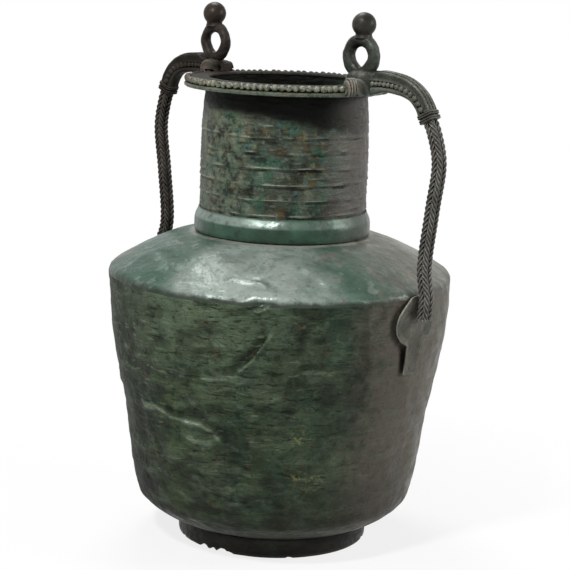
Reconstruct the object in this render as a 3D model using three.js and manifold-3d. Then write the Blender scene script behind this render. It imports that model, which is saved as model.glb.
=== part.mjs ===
import * as THREE from 'three';
import { mergeVertices } from 'three/addons/utils/BufferGeometryUtils.js';
import Module from 'manifold-3d';

// Bronze amphora: a raised sheet vessel with two cast and twisted-rod handles.
// Millimetres, +Z up. The origin is the middle of the surface that the foot stands on,
// and the right handle points along +X.

const wasm = await Module();
wasm.setup();

// Sheet and seams
const WALL = 2.0; // raised sheet of belly, shoulder and neck
const SEAM = 0.3; // gap left at every soldered or seated joint
const ROUND = 36; // flats round the vessel

// Foot ring
const FOOT_R = 87.0; // outer radius at the top
const FOOT_TAPER = 0.8; // the lower edge stands in by this
const FOOT_SHEET = 3.0;
const FOOT_H = 17.0;

// Belly: sloping underside, quick turn, then a steep wall out to the shoulder edge
const BELLY_R = 155.5; // greatest radius, at the shoulder edge
const BELLY_H = 229.0; // from foot to shoulder edge
const UNDER_R = 109.0; // where the sloping underside starts to turn up
const UNDER_RISE = 10.0; // height of that point above the foot
const HIP_R = 123.7; // radius where the turn ends
const HIP_H = 24.0; // height of that point above the foot
const WAIST_R = 137.0; // radius half way up the wall
const BASE_DOME = 3.0; // the bottom rises this much at its middle

// Shoulder: a low cone, a little domed, with a lap inside the belly's mouth
const SHOULDER_RISE = 35.5;
const SHOULDER_SWELL = 5.5; // how far its middle stands above a straight cone
const LAP_H = 6.0;

// Neck: a slightly barrel-shaped tube with thin raised lines
const NECK_FOOT_R = 74.2;
const NECK_MID_R = 75.4;
const NECK_TOP_R = 71.6;
const NECK_H = 133.6;
const NECK_LINES = 6;
const LINE_PITCH = 13.6;
const LINE_PROUD = 0.5;
const LINE_W = 1.6;
const FIRST_LINE = 23.0; // height of the lowest line above the neck's foot

// Collar round the neck's foot
const COLLAR_R = 79.4;
const COLLAR_H = 20.0;
const COLLAR_ROUND = 4.5; // rounding of its upper edge

// Rim: flat lip, outer band and a beaded wire lying on the band
const LIP_T = 2.5;
const RIM_R = 91.6; // outside of the band
const BAND_H = 3.6;
const BAND_W = 8.0;
const BEADS = 94;
const BEAD_H = 6.4;
const BEAD_RISE = 1.5; // beads stand above the lip by this
const BEAD_DEPTH = 5.6;

// Handles
const ROOT_W = 25.0; // width of the root where it crosses the rim's edge
const ROOT_END_W = 11.0; // width of its rounded inner end
const ARM_W = 13.0;
const ARM_CREST = 13.6; // arm's top above the rim's top
const ARM_H = 15.2; // thickness where it enters the cuff
const KNOT_TURN = 3.2; // half the angle that a knot covers
const KNOT_H = 16.5;
const KNOT_DEPTH = 6.0; // how far a knot stands outside the rim
const PEARL_R = 2.2;
const PEARL_PITCH = 5.2;
const CUFF_L = 8.0;
const CUFF_PROUD = 1.0; // ridges of the cuff outside the arm
const ROD_R = 2.65; // corner radius of one twisted rod
const ROD_TWIST = 19.2; // length of one full turn of a rod
const BALL_R = 10.5;
const BALL_SINK = 2.8; // how deep a ball reaches into the loop's top
const BALL_NECK_R = 8.4; // thick short neck that saddles the loop
const BALL_NECK_H = 5.0; // how far the neck comes down over the loop

// Foot plates under the rods: an oval disc with a tapering tail
const PLATE_T = 1.4;
const DISC_W = 51.0;
const DISC_H = 45.0;
const TAIL_W = 22.0;
const TAIL_END_W = 16.5;
const TAIL_L = 47.0; // from the disc's middle to the tail's end
const DISC_DROP = 23.0; // disc's middle below the shoulder edge
const ROD_END_DROP = 21.0; // where the rods end, below the shoulder edge

// The two handles were bent a little differently, so each has its own reaches.
// Reaches are radii outside the belly's greatest radius, drops are below the rim's top,
// rootH is the height of the arm's root above the rim's beads, and forkReach the degrees
// from the arm to the knot at each fork end.
// Turns are degrees about the vessel's axis, added to the handle's own azimuth.
const RIGHT = {
  side: 'right', azimuth: 0, forkTurn: 0, forkReach: 15, plateTurn: -2.0, rootR: 69.5, rootH: 12.3, lean: 27,
  loopR: 81.5, loopRod: 5.4, loopFoot: 1.7, eyeW: 16.4, eyeH: 18.0, ballLean: 1.5,
  cuffOut: -2.5, bulgeOut: 12.1, middleOut: 7.5, waistOut: 3.4, footAside: -3.2,
};
const LEFT = {
  side: 'left', azimuth: 175, forkTurn: -1.5, forkReach: 7, plateTurn: 0, rootR: 79.5, rootH: 8.5, lean: 21,
  loopR: 93.5, loopRod: 4.6, loopFoot: 6.4, eyeW: 17.8, eyeH: 18.4, ballLean: 2.4,
  cuffOut: 0.0, bulgeOut: 11.0, middleOut: 4.5, waistOut: -0.5, footAside: 0.0,
};
const CUFF_DROP = 18.5;
const BULGE_DROP = 59.0;
const MIDDLE_DROP = 102.0;
const WAIST_RISE = 22.0; // narrowest reach, above the shoulder edge

// Heights that follow
const BELLY_Z = FOOT_H + SEAM;
const EDGE_Z = FOOT_H + BELLY_H;
const LIP_R = NECK_FOOT_R - WALL; // inner lip of the shoulder, which carries the neck
const shoulderZ = (r) => {
  const t = (BELLY_R - r) / (BELLY_R - LIP_R);
  return EDGE_Z + SEAM + SHOULDER_RISE * t + SHOULDER_SWELL * 4 * t * (1 - t);
};
const NECK_Z = shoulderZ(LIP_R) + SEAM;
const NECK_TOP = NECK_Z + NECK_H;
const LIP_TOP = NECK_TOP + SEAM + LIP_T;
const RIM_TOP = LIP_TOP + BEAD_RISE;
const RIM_LOW = RIM_TOP - BEAD_H - SEAM - BAND_H;

// Bronze colours
const bronze = (color, roughness, metalness = 0.55) => (
  new THREE.MeshStandardMaterial({ color, roughness, metalness })
);
const FINISH = {
  belly: () => bronze(0x3d4a40, 0.5),
  shoulder: () => bronze(0x6d7c6e, 0.42),
  neck: () => bronze(0x4d5248, 0.48),
  collar: () => bronze(0x6a8474, 0.4),
  rim: () => bronze(0x8b9379, 0.55),
  foot: () => bronze(0x3a3430, 0.6),
  arm: () => bronze(0x4c4f49, 0.42),
  rod: () => bronze(0x3a322c, 0.45),
  ball: () => bronze(0x2c2e2e, 0.35),
  plate: () => bronze(0x5d5d55, 0.5),
};

// Solid geometry helpers

function signedVolume(geometry) {
  const p = geometry.attributes.position;
  const index = geometry.index;
  const count = index ? index.count : p.count;
  const at = (i) => new THREE.Vector3().fromBufferAttribute(p, index ? index.getX(i) : i);
  let sum = 0;
  for (let i = 0; i < count; i += 3) {
    sum += at(i).dot(at(i + 1).cross(at(i + 2)));
  }
  return sum / 6;
}

// Keeps position only, joins the seams and turns every face outward
function solid(geometry) {
  geometry.deleteAttribute('normal');
  geometry.deleteAttribute('uv');
  const merged = mergeVertices(geometry, 1e-4);
  const index = merged.index;
  const flip = signedVolume(merged) < 0;
  const kept = [];
  for (let i = 0; i < index.count; i += 3) {
    const a = index.getX(i);
    const b = index.getX(i + 1);
    const c = index.getX(i + 2);
    if (a === b || b === c || a === c) continue;
    kept.push(a, flip ? c : b, flip ? b : c);
  }
  merged.setIndex(kept);
  return merged;
}

function toManifold(geometry) {
  return new wasm.Manifold(new wasm.Mesh({
    numProp: 3,
    vertProperties: new Float32Array(geometry.attributes.position.array),
    triVerts: new Uint32Array(geometry.index.array),
  }));
}

function fromManifold(body) {
  const mesh = body.getMesh();
  const geometry = new THREE.BufferGeometry();
  geometry.setAttribute('position', new THREE.BufferAttribute(new Float32Array(mesh.vertProperties), 3));
  geometry.setIndex(new THREE.BufferAttribute(new Uint32Array(mesh.triVerts), 1));
  return geometry;
}

const cut = (body, tool) => fromManifold(toManifold(body).subtract(toManifold(tool)));
const common = (body, tool) => fromManifold(toManifold(body).intersect(toManifold(tool)));
const join = (body, other) => fromManifold(toManifold(body).add(toManifold(other)));

// Turns a section of [radius, height] points about the vessel's axis
function revolve(section, flats = ROUND) {
  const points = section.map(([r, z]) => new THREE.Vector2(Math.max(r, 0), z));
  if (section[0][0] > 0) points.push(points[0].clone());
  return solid(new THREE.LatheGeometry(points, flats).rotateX(Math.PI / 2));
}

// Moves a line of [radius, height] points sideways by a distance, to its left
function offset(line, distance) {
  return line.map(([r, z], i) => {
    const [r0, z0] = line[Math.max(i - 1, 0)];
    const [r1, z1] = line[Math.min(i + 1, line.length - 1)];
    const length = Math.hypot(r1 - r0, z1 - z0);
    const side = [-(z1 - z0) / length, (r1 - r0) / length];
    return [r === 0 ? 0 : r + side[0] * distance, z + side[1] * distance];
  });
}

// Skins closed rings of equally many points into one solid with flat ends
function skin(rings, closed = false) {
  const n = rings[0].length;
  const position = rings.flat().flatMap((p) => [p.x, p.y, p.z]);
  const index = [];
  const bands = closed ? rings.length : rings.length - 1;
  for (let i = 0; i < bands; i += 1) {
    const a = i * n;
    const b = ((i + 1) % rings.length) * n;
    for (let k = 0; k < n; k += 1) {
      const m = (k + 1) % n;
      index.push(a + k, a + m, b + m, a + k, b + m, b + k);
    }
  }
  if (!closed) {
    for (const [ring, turn] of [[0, 1], [rings.length - 1, -1]]) {
      const flat = rings[ring].map((p) => flatten(p, rings[ring]));
      for (const [p, q, r] of THREE.ShapeUtils.triangulateShape(flat, [])) {
        const base = ring * n;
        index.push(base + p, base + (turn > 0 ? r : q), base + (turn > 0 ? q : r));
      }
    }
  }
  const geometry = new THREE.BufferGeometry();
  geometry.setAttribute('position', new THREE.Float32BufferAttribute(position, 3));
  geometry.setIndex(index);
  if (signedVolume(geometry) < 0) {
    for (let i = 0; i < index.length; i += 3) {
      [index[i + 1], index[i + 2]] = [index[i + 2], index[i + 1]];
    }
    geometry.setIndex(index);
  }
  return geometry;
}

// A ring point in the plane of its ring, for closing the ring with triangles
function flatten(point, ring) {
  const normal = new THREE.Vector3();
  for (let k = 0; k < ring.length; k += 1) {
    const a = ring[k];
    const b = ring[(k + 1) % ring.length];
    normal.x += (a.y - b.y) * (a.z + b.z);
    normal.y += (a.z - b.z) * (a.x + b.x);
    normal.z += (a.x - b.x) * (a.y + b.y);
  }
  normal.normalize();
  const across = ring[1].clone().sub(ring[0]);
  across.addScaledVector(normal, -across.dot(normal)).normalize();
  const up = normal.clone().cross(across);
  return new THREE.Vector2(point.dot(across), point.dot(up));
}

const amphora = new THREE.Group();

function piece(name, geometry, finish, parent = amphora) {
  const mesh = new THREE.Mesh(geometry, FINISH[finish]());
  mesh.name = name;
  parent.add(mesh);
  return mesh;
}

// Foot ring: a band of sheet, a little narrower at the ground
piece('foot_ring', revolve([
  [FOOT_R - FOOT_TAPER - FOOT_SHEET, 0],
  [FOOT_R - FOOT_TAPER, 0],
  [FOOT_R, FOOT_H * 0.6],
  [FOOT_R, FOOT_H],
  [FOOT_R - FOOT_SHEET, FOOT_H],
]), 'foot');

// Belly: one raised sheet from the middle of the bottom to the shoulder edge
function wallLine() {
  const turn = new THREE.QuadraticBezierCurve(
    new THREE.Vector2(UNDER_R, BELLY_Z + UNDER_RISE),
    new THREE.Vector2(HIP_R - 1.5, BELLY_Z + UNDER_RISE + (HIP_H - UNDER_RISE) * 0.58),
    new THREE.Vector2(HIP_R, BELLY_Z + HIP_H),
  );
  const edgeLow = EDGE_Z - LAP_H - 4;
  const rise = edgeLow - BELLY_Z - HIP_H;
  const side = new THREE.SplineCurve([
    new THREE.Vector2(HIP_R, BELLY_Z + HIP_H),
    new THREE.Vector2(HIP_R + (WAIST_R - HIP_R) * 0.58, BELLY_Z + HIP_H + rise * 0.15),
    new THREE.Vector2(WAIST_R, BELLY_Z + HIP_H + rise * 0.38),
    new THREE.Vector2(WAIST_R + (BELLY_R - WAIST_R) * 0.55, BELLY_Z + HIP_H + rise * 0.65),
    new THREE.Vector2(BELLY_R, edgeLow),
  ]);
  return [
    [0, BELLY_Z + BASE_DOME],
    [FOOT_R - FOOT_SHEET - WALL, BELLY_Z],
    [FOOT_R, BELLY_Z],
    ...turn.getPoints(3).map((p) => [p.x, p.y]),
    ...side.getPoints(5).slice(1).map((p) => [p.x, p.y]),
    [BELLY_R, EDGE_Z],
  ];
}
const WALL_LINE = wallLine();
piece('belly', revolve([...WALL_LINE, ...offset(WALL_LINE, WALL).reverse()]), 'belly');

// Outer radius of the wall at a height
function wallR(z) {
  for (let i = 1; i < WALL_LINE.length; i += 1) {
    const [r0, z0] = WALL_LINE[i - 1];
    const [r1, z1] = WALL_LINE[i];
    if (z1 > z0 && z >= z0 && z <= z1) return r0 + (r1 - r0) * (z - z0) / (z1 - z0);
  }
  return BELLY_R;
}

// Shoulder: a domed cone whose turned-down edge laps inside the belly's mouth
const lapR = BELLY_R - WALL - SEAM;
const across = [0, 0.12, 0.33, 0.63, 1].map((t) => BELLY_R + (LIP_R - BELLY_R) * t);
const below = [1, 0.65, 0.3].map((t) => lapR - WALL + (LIP_R - lapR + WALL) * t);
piece('shoulder', revolve([
  ...across.map((r) => [r, shoulderZ(r)]),
  ...below.map((r) => [r, shoulderZ(r) - WALL * 1.12]),
  [lapR - WALL, shoulderZ(lapR) - WALL * 1.12],
  [lapR - WALL, EDGE_Z - LAP_H],
  [lapR, EDGE_Z - LAP_H],
  [lapR, EDGE_Z + SEAM],
]), 'shoulder');

// Neck: barrel-shaped tube standing on the shoulder's inner lip
function neckR(z) {
  const middle = NECK_Z + NECK_H * 0.43;
  const t = z < middle ? (middle - z) / (middle - NECK_Z) : (z - middle) / (NECK_TOP - middle);
  const end = z < middle ? NECK_FOOT_R : NECK_TOP_R;
  return NECK_MID_R + (end - NECK_MID_R) * t * t;
}
const neckOut = [[neckR(NECK_Z), NECK_Z]];
for (let i = 0; i < NECK_LINES; i += 1) {
  const z = NECK_Z + FIRST_LINE + i * LINE_PITCH;
  neckOut.push([neckR(z - LINE_W / 2), z - LINE_W / 2]);
  neckOut.push([neckR(z) + LINE_PROUD, z]);
  neckOut.push([neckR(z + LINE_W / 2), z + LINE_W / 2]);
}
const lastLine = neckOut[neckOut.length - 1][1];
neckOut.push([neckR((lastLine + NECK_TOP) / 2), (lastLine + NECK_TOP) / 2]);
neckOut.push([neckR(NECK_TOP), NECK_TOP]);
const neckIn = [0, 0.43, 0.75, 1].map((t) => NECK_Z + NECK_H * t).map((z) => [neckR(z) - WALL, z]);
piece('neck', revolve([...neckOut, ...neckIn.reverse()]), 'neck');

// Collar: a rounded band standing on the cone, close round the neck
const collarIn = NECK_FOOT_R + SEAM + (neckR(NECK_Z + COLLAR_H) - NECK_FOOT_R);
const collarTop = shoulderZ(COLLAR_R) + SEAM + COLLAR_H;
piece('neck_collar', revolve([
  [COLLAR_R, shoulderZ(COLLAR_R) + SEAM],
  [COLLAR_R, collarTop - COLLAR_ROUND],
  [COLLAR_R - COLLAR_ROUND * 0.3, collarTop - COLLAR_ROUND * 0.3],
  [collarIn + 0.5, collarTop],
  [collarIn, collarTop],
  [collarIn, shoulderZ(collarIn) + SEAM],
]), 'collar');

// Rim: the lip lies on the neck's top edge, and its outer band carries the beaded wire
const lipIn = NECK_TOP_R - WALL;
const stepR = RIM_R - BEAD_DEPTH - SEAM;
piece('rim_flange', revolve([
  [lipIn, LIP_TOP],
  [lipIn, LIP_TOP - LIP_T],
  [RIM_R - BAND_W, LIP_TOP - LIP_T],
  [RIM_R - BAND_W, RIM_LOW],
  [RIM_R, RIM_LOW],
  [RIM_R, RIM_LOW + BAND_H],
  [stepR, RIM_LOW + BAND_H],
  [stepR, LIP_TOP],
]), 'rim');

// Beaded wire: its section swells at every bead and is pinched between beads
const beadRings = [];
for (let i = 0; i < BEADS * 2; i += 1) {
  const turn = i * Math.PI / BEADS;
  const swell = i % 2 ? 0.5 : 1;
  const ring = [];
  for (let k = 0; k < 4; k += 1) {
    const a = k * Math.PI / 2;
    const r = RIM_R - BEAD_DEPTH / 2 + Math.cos(a) * swell * BEAD_DEPTH / 2;
    const z = RIM_TOP - BEAD_H / 2 + Math.sin(a) * swell * BEAD_H / 2;
    ring.push(new THREE.Vector3(Math.cos(turn) * r, Math.sin(turn) * r, z));
  }
  beadRings.push(ring);
}
piece('rim_bead_wire', skin(beadRings, true), 'rim');

// Space that the rim, its beads and the neck take, for cutting seats into the handles
const rimSpace = revolve([
  [lipIn * 0.5, LIP_TOP + SEAM],
  [lipIn * 0.5, RIM_LOW - 60],
  [RIM_R + SEAM, RIM_LOW - 60],
  [RIM_R + SEAM, RIM_TOP + SEAM],
  [stepR - SEAM, RIM_TOP + SEAM],
  [stepR - SEAM, LIP_TOP + SEAM],
], 96);

// A handle's line lies in its own XZ plane, X being the reach from the vessel's axis
function armCurve(h) {
  const lean = THREE.MathUtils.degToRad(h.lean);
  const end = new THREE.Vector3(BELLY_R + h.cuffOut, 0, RIM_TOP - CUFF_DROP);
  const start = new THREE.Vector3(h.rootR, 0, RIM_TOP + 2.5);
  const reach = end.x - start.x;
  return new THREE.CubicBezierCurve3(
    start,
    new THREE.Vector3(start.x + reach * 0.72, 0, start.z + 4),
    new THREE.Vector3(end.x - Math.sin(lean) * 22, 0, end.z + Math.cos(lean) * 22),
    end,
  );
}

// Place and axes of a handle's section: N is outward and up, Y is across
function frameOn(curve, t) {
  const at = curve.getPointAt(t);
  const along = curve.getTangentAt(t);
  return { at, along, out: new THREE.Vector3(-along.z, 0, along.x) };
}
const ACROSS = new THREE.Vector3(0, 1, 0);
const place = (f, n, y) => f.at.clone().addScaledVector(f.out, n).addScaledVector(ACROSS, y);

// Half of the arm's section as [half widths, half heights]: narrow inside, a groove for the
// pearls in each flank, and three ribs along the back
const FLANK = [
  [0.55, -1], [0.86, -0.78], [0.92, -0.5], [0.5, -0.44], [0.5, 0.16], [0.96, 0.24], [1, 0.66],
  [0.82, 0.93], [0.5, 0.8], [0.24, 1],
];
const ARM_SECTION = [...FLANK, ...FLANK.slice().reverse().map(([y, n]) => [-y, n])];

const smooth = (x, a, b) => THREE.MathUtils.smoothstep(x, a, b);

// Reach of the loop's outer side where it stands on the root
function loopEdge(h) {
  const a = h.eyeW / 2 + h.loopRod * 2;
  const b = h.eyeH / 2 + h.loopRod * 2;
  return h.loopR + SEAM + a * Math.sqrt(1 - ((h.eyeH / 2 + h.loopFoot) / b) ** 2);
}

function armSize(h, f) {
  const x = f.at.x;
  const edge = RIM_R + SEAM;
  const seat = RIM_TOP + h.rootH - f.at.z;
  const crest = smooth(x, loopEdge(h), loopEdge(h) + 10);
  const slim = smooth(x, h.loopR + 16, BELLY_R + h.cuffOut - 6);
  const full = (ARM_CREST + 5) * 0.5;
  const up = THREE.MathUtils.lerp(seat + (ARM_CREST - h.rootH) * crest, ARM_H / 2, slim);
  const down = THREE.MathUtils.lerp(full + 3.5 * (1 - smooth(x, edge, edge + 18)), ARM_H / 2, slim);
  const flare = (ROOT_W - ARM_W) / 2 * (1 - smooth(x, edge - 4, edge + 9));
  const inner = (ROOT_END_W - ROOT_W) / 2 * (1 - smooth(x, h.rootR + 2, edge - 7));
  return { up, down, half: ARM_W / 2 + flare + inner };
}

function armBody(h, curve) {
  const steps = 15;
  const rings = [];
  for (let i = 0; i <= steps; i += 1) {
    const f = frameOn(curve, i / steps);
    const s = armSize(h, f);
    rings.push(ARM_SECTION.map(([y, n]) => place(f, n > 0 ? n * s.up : n * s.down, y * s.half)));
  }
  return skin(rings);
}

// Fork: a bar that runs along the rim's edge to a knot on each side of the arm
function forkBar(h) {
  const rings = [];
  const knot = h.forkReach + KNOT_TURN;
  const neckTurn = h.forkReach - KNOT_TURN;
  const half = [knot, knot - 1, neckTurn + 0.7, neckTurn - 0.7, neckTurn / 2];
  const turns = [...half.map((turn) => -turn), 0, ...half.slice().reverse()];
  for (const degrees of turns) {
    const a = THREE.MathUtils.degToRad(degrees + h.forkTurn);
    const away = Math.abs(degrees);
    const size = away > neckTurn ? (away > knot - 0.5 ? 0.82 : 1) : 0.72;
    const ring = [];
    for (let k = 0; k < 8; k += 1) {
      const b = (k + 0.5) * Math.PI / 4;
      const r = RIM_R + (0.1 + Math.cos(b) * 1.08 * size) * KNOT_DEPTH;
      const z = (RIM_TOP + RIM_LOW) / 2 + 3.5 + Math.sin(b) * 1.08 * size * KNOT_H / 2;
      ring.push(new THREE.Vector3(Math.cos(a) * r, Math.sin(a) * r, z));
    }
    rings.push(ring);
  }
  return skin(rings);
}

// Pearl wire lying in the groove of one flank
function pearlWire(h, curve, hand) {
  const length = curve.getLength();
  const end = 1 - (PEARL_R * 0.5 + SEAM) / length;
  const free = RIM_R + 8;
  let start = 0;
  while (curve.getPointAt(start).x < free) start += 0.01;
  const pearls = Math.floor((end - start) * length / PEARL_PITCH);
  const rings = [];
  for (let i = 0; i <= pearls * 2; i += 1) {
    const f = frameOn(curve, end - (pearls * 2 - i) * PEARL_PITCH / 2 / length);
    const s = armSize(h, f);
    const swell = i % 2 ? 1 : 0.45;
    const ring = [];
    for (let k = 0; k < 4; k += 1) {
      const a = k * Math.PI / 2;
      const n = Math.cos(a) * swell * PEARL_R - 0.16 * s.down;
      const y = s.half * 0.5 + SEAM + PEARL_R * (1 + Math.sin(a) * swell);
      ring.push(place(f, n, hand * y));
    }
    rings.push(ring);
  }
  return skin(rings);
}

// Cuff: a short sleeve with two ridges, between the arm and the rods
function cuffBody(f) {
  const rings = [];
  const ridges = [[0, 0.2], [1.2, 1], [2.8, 1], [4, 0.1], [5.2, 1], [6.8, 1], [8, 0]];
  for (const [d, proud] of ridges) {
    const ring = [];
    for (let k = 0; k < 12; k += 1) {
      const a = (k + 0.5) * Math.PI / 6;
      const c = Math.cos(a);
      const s = Math.sin(a);
      const square = 1 / (Math.abs(c) ** 4 + Math.abs(s) ** 4) ** 0.25;
      const n = c * square * (ARM_H / 2 + CUFF_PROUD * proud);
      const y = s * square * (ARM_W / 2 + CUFF_PROUD * proud);
      ring.push(place(f, n, y).addScaledVector(f.along, SEAM + d * CUFF_L / 8));
    }
    rings.push(ring);
  }
  return skin(rings);
}

// Line of the four rods, from the cuff down to where they lie on the foot plate
const bundle = ROD_R * 2 + SEAM / 2;
function rodCurve(h, cuff) {
  const footZ = EDGE_Z - ROD_END_DROP;
  const seatR = (z) => wallR(z) + SEAM + PLATE_T + SEAM + bundle;
  const top = cuff.at.clone().addScaledVector(cuff.along, CUFF_L + SEAM * 2);
  return new THREE.CatmullRomCurve3([
    top,
    top.clone().addScaledVector(cuff.along, 8),
    new THREE.Vector3(BELLY_R + h.bulgeOut, 0, RIM_TOP - BULGE_DROP),
    new THREE.Vector3(BELLY_R + h.middleOut, 0, RIM_TOP - MIDDLE_DROP),
    new THREE.Vector3(BELLY_R + h.waistOut, h.footAside * 0.4, EDGE_Z + WAIST_RISE),
    new THREE.Vector3(seatR(EDGE_Z) + 0.4, h.footAside * 0.8, EDGE_Z - 3),
    new THREE.Vector3(seatR(footZ), h.footAside, footZ),
  ], false, 'centripetal');
}

// One square rod, twisted about its own line; neighbours twist opposite ways
function twistedRod(curve, side, row, hand) {
  const length = curve.getLength();
  const steps = Math.round(length / (ROD_TWIST / 5));
  const half = ROD_R + SEAM / 2;
  const rings = [];
  for (let i = 0; i <= steps; i += 1) {
    const f = frameOn(curve, i / steps);
    const turn = hand * (i / steps) * length / ROD_TWIST * 2 * Math.PI;
    const ring = [];
    for (let k = 0; k < 4; k += 1) {
      const a = turn + hand * k * Math.PI / 2;
      ring.push(place(f, side * half + Math.cos(a) * ROD_R, row * half + Math.sin(a) * ROD_R));
    }
    rings.push(ring);
  }
  return skin(rings);
}

// Foot plate: a keyhole outline cut from a sheet that follows the belly's wall
function footPlate(h) {
  const low = EDGE_Z - DISC_DROP - TAIL_L - 6;
  const high = EDGE_Z - 0.5;
  const heights = WALL_LINE.map(([, z]) => z).filter((z) => z > low && z < high);
  const line = [low, ...heights, high].map((z) => [wallR(z) + SEAM, z]);
  const sheet = revolve([...line, ...offset(line, -PLATE_T).reverse()]);
  const joint = Math.acos(TAIL_W / DISC_W);
  const outline = new THREE.Shape();
  outline.absellipse(0, 0, DISC_W / 2, DISC_H / 2, -joint, Math.PI + joint, false);
  outline.lineTo(-TAIL_END_W / 2, -TAIL_L);
  outline.lineTo(TAIL_END_W / 2, -TAIL_L);
  outline.closePath();
  const inside = wallR(low) * 0.9;
  const depth = BELLY_R + DISC_W / 2 - inside;
  const prism = new THREE.ExtrudeGeometry(outline, { depth, bevelEnabled: false, curveSegments: 20 });
  prism.rotateX(Math.PI / 2).rotateZ(Math.PI / 2);
  prism.translate(inside, 0, EDGE_Z - DISC_DROP);
  prism.rotateZ(THREE.MathUtils.degToRad(h.azimuth + h.plateTurn));
  return common(sheet, solid(prism));
}

// Loop: an upright eye of round rod, cut flat where it stands on the arm's root
const loopZ = (h) => RIM_TOP + h.rootH + SEAM + h.loopFoot + h.eyeH / 2;
function loopTube(h, grow = 0) {
  const a0 = h.eyeW / 2 + h.loopRod;
  const b0 = h.eyeH / 2 + h.loopRod;
  const rings = [];
  for (let i = 0; i < 20; i += 1) {
    const a = i * Math.PI / 10;
    const middle = new THREE.Vector3(h.loopR + Math.cos(a) * a0, 0, loopZ(h) + Math.sin(a) * b0);
    const out = new THREE.Vector3(Math.cos(a) * b0, 0, Math.sin(a) * a0).normalize();
    const ring = [];
    for (let k = 0; k < 8; k += 1) {
      const b = k * Math.PI / 4;
      const p = middle.clone().addScaledVector(out, Math.cos(b) * (h.loopRod + grow));
      ring.push(p.addScaledVector(ACROSS, Math.sin(b) * (h.loopRod + grow)));
    }
    rings.push(ring);
  }
  return skin(rings, true);
}

// Ball with a thick short neck, hollowed below so that it saddles the loop's top
function ballBody(h) {
  const loopTop = loopZ(h) + h.eyeH / 2 + h.loopRod * 2;
  const middle = loopTop - BALL_SINK + BALL_R;
  const low = loopTop - BALL_NECK_H;
  const start = Math.asin(BALL_NECK_R / BALL_R) - Math.PI / 2;
  const section = [[0, low], [BALL_NECK_R, low]];
  for (let i = 0; i <= 7; i += 1) {
    const a = start + (Math.PI / 2 - start) * i / 7;
    section.push([i === 7 ? 0 : BALL_R * Math.cos(a), middle + BALL_R * Math.sin(a)]);
  }
  const ball = revolve(section, 14);
  ball.translate(h.loopR + h.ballLean, 0, 0);
  return cut(ball, loopTube(h, SEAM));
}

function handle(h) {
  const group = new THREE.Group();
  group.rotation.z = THREE.MathUtils.degToRad(h.azimuth);
  amphora.add(group);

  const arm = armCurve(h);
  const armSolid = cut(join(armBody(h, arm), forkBar(h)), rimSpace);
  piece(`${h.side}_arm`, armSolid, 'arm', group);
  piece(`${h.side}_pearls_front`, pearlWire(h, arm, h.side === 'right' ? -1 : 1), 'arm', group);
  piece(`${h.side}_pearls_back`, pearlWire(h, arm, h.side === 'right' ? 1 : -1), 'arm', group);

  const end = frameOn(arm, 1);
  piece(`${h.side}_cuff`, cuffBody(end), 'rod', group);

  const rods = rodCurve(h, end);
  piece(`${h.side}_rod_outer_front`, twistedRod(rods, 1, -1, 1), 'rod', group);
  piece(`${h.side}_rod_outer_back`, twistedRod(rods, 1, 1, -1), 'rod', group);
  piece(`${h.side}_rod_inner_front`, twistedRod(rods, -1, -1, -1), 'rod', group);
  piece(`${h.side}_rod_inner_back`, twistedRod(rods, -1, 1, 1), 'rod', group);

  const span = (h.eyeW + h.eyeH) * 2 + h.loopRod * 8;
  const standing = new THREE.BoxGeometry(span, span, span);
  standing.translate(h.loopR, 0, RIM_TOP + h.rootH + SEAM - span / 2);
  piece(`${h.side}_loop`, cut(loopTube(h), solid(standing)), 'arm', group);

  piece(`${h.side}_ball`, ballBody(h), 'ball', group);

  piece(`${h.side}_foot_plate`, footPlate(h), 'plate');
}
handle(RIGHT);
handle(LEFT);

export default amphora;
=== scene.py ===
# %% [markdown]
# # A patinated bronze amphora
# A jar raised from sheet bronze, with two handles of twisted rods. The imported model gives
# every piece its place. Here each piece gets its fine form: dents, beads, twists and wear.
# Lengths below are in millimetres until a helper turns them into metres.

# %% Load the frame
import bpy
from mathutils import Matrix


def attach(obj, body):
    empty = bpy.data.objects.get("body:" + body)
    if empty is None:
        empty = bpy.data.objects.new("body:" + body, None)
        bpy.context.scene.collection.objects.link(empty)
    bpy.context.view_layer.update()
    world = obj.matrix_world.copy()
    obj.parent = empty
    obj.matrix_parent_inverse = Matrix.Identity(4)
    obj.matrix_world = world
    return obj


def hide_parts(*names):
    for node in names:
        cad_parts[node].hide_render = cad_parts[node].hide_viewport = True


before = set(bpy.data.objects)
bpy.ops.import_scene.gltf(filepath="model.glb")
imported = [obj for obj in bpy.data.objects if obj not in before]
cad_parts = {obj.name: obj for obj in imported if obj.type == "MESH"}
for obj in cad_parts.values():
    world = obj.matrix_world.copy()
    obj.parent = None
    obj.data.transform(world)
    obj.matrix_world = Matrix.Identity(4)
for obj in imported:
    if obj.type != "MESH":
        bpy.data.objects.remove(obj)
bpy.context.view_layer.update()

import math
import random
from functools import partial
from types import SimpleNamespace

import bmesh
import bpy
import numpy as np
from mathutils import Matrix, Vector, noise

scene = bpy.context.scene
print("nodes in the frame:", len(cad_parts))

# %% Sizes that several pieces share
MM = 0.001
WALL = 2.0  # thickness of the raised sheet, in mm as all that follow
GAP = 0.3  # clearance between two pieces
BELLY_R, EDGE = 155.5, 246.0  # radius and height of the shoulder's edge in the frame
NECK_LOW, NECK_TOP, NECK_TALL = 282.1, 415.7, 133.6
RIM_R, RIM_TOP = 91.6, 420.0  # outer radius, and height of the top with its beads
PLATE_THICK = 1.4

# %% [markdown]
# ## Camera
# The photograph was taken from a little above the rim, 39 degrees round from the front, and
# its frame is turned slightly. Five numbers place the camera: how far away, up and aside it
# stands, its pitch and its roll. The long lens keeps the jar's sides almost parallel.

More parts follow.
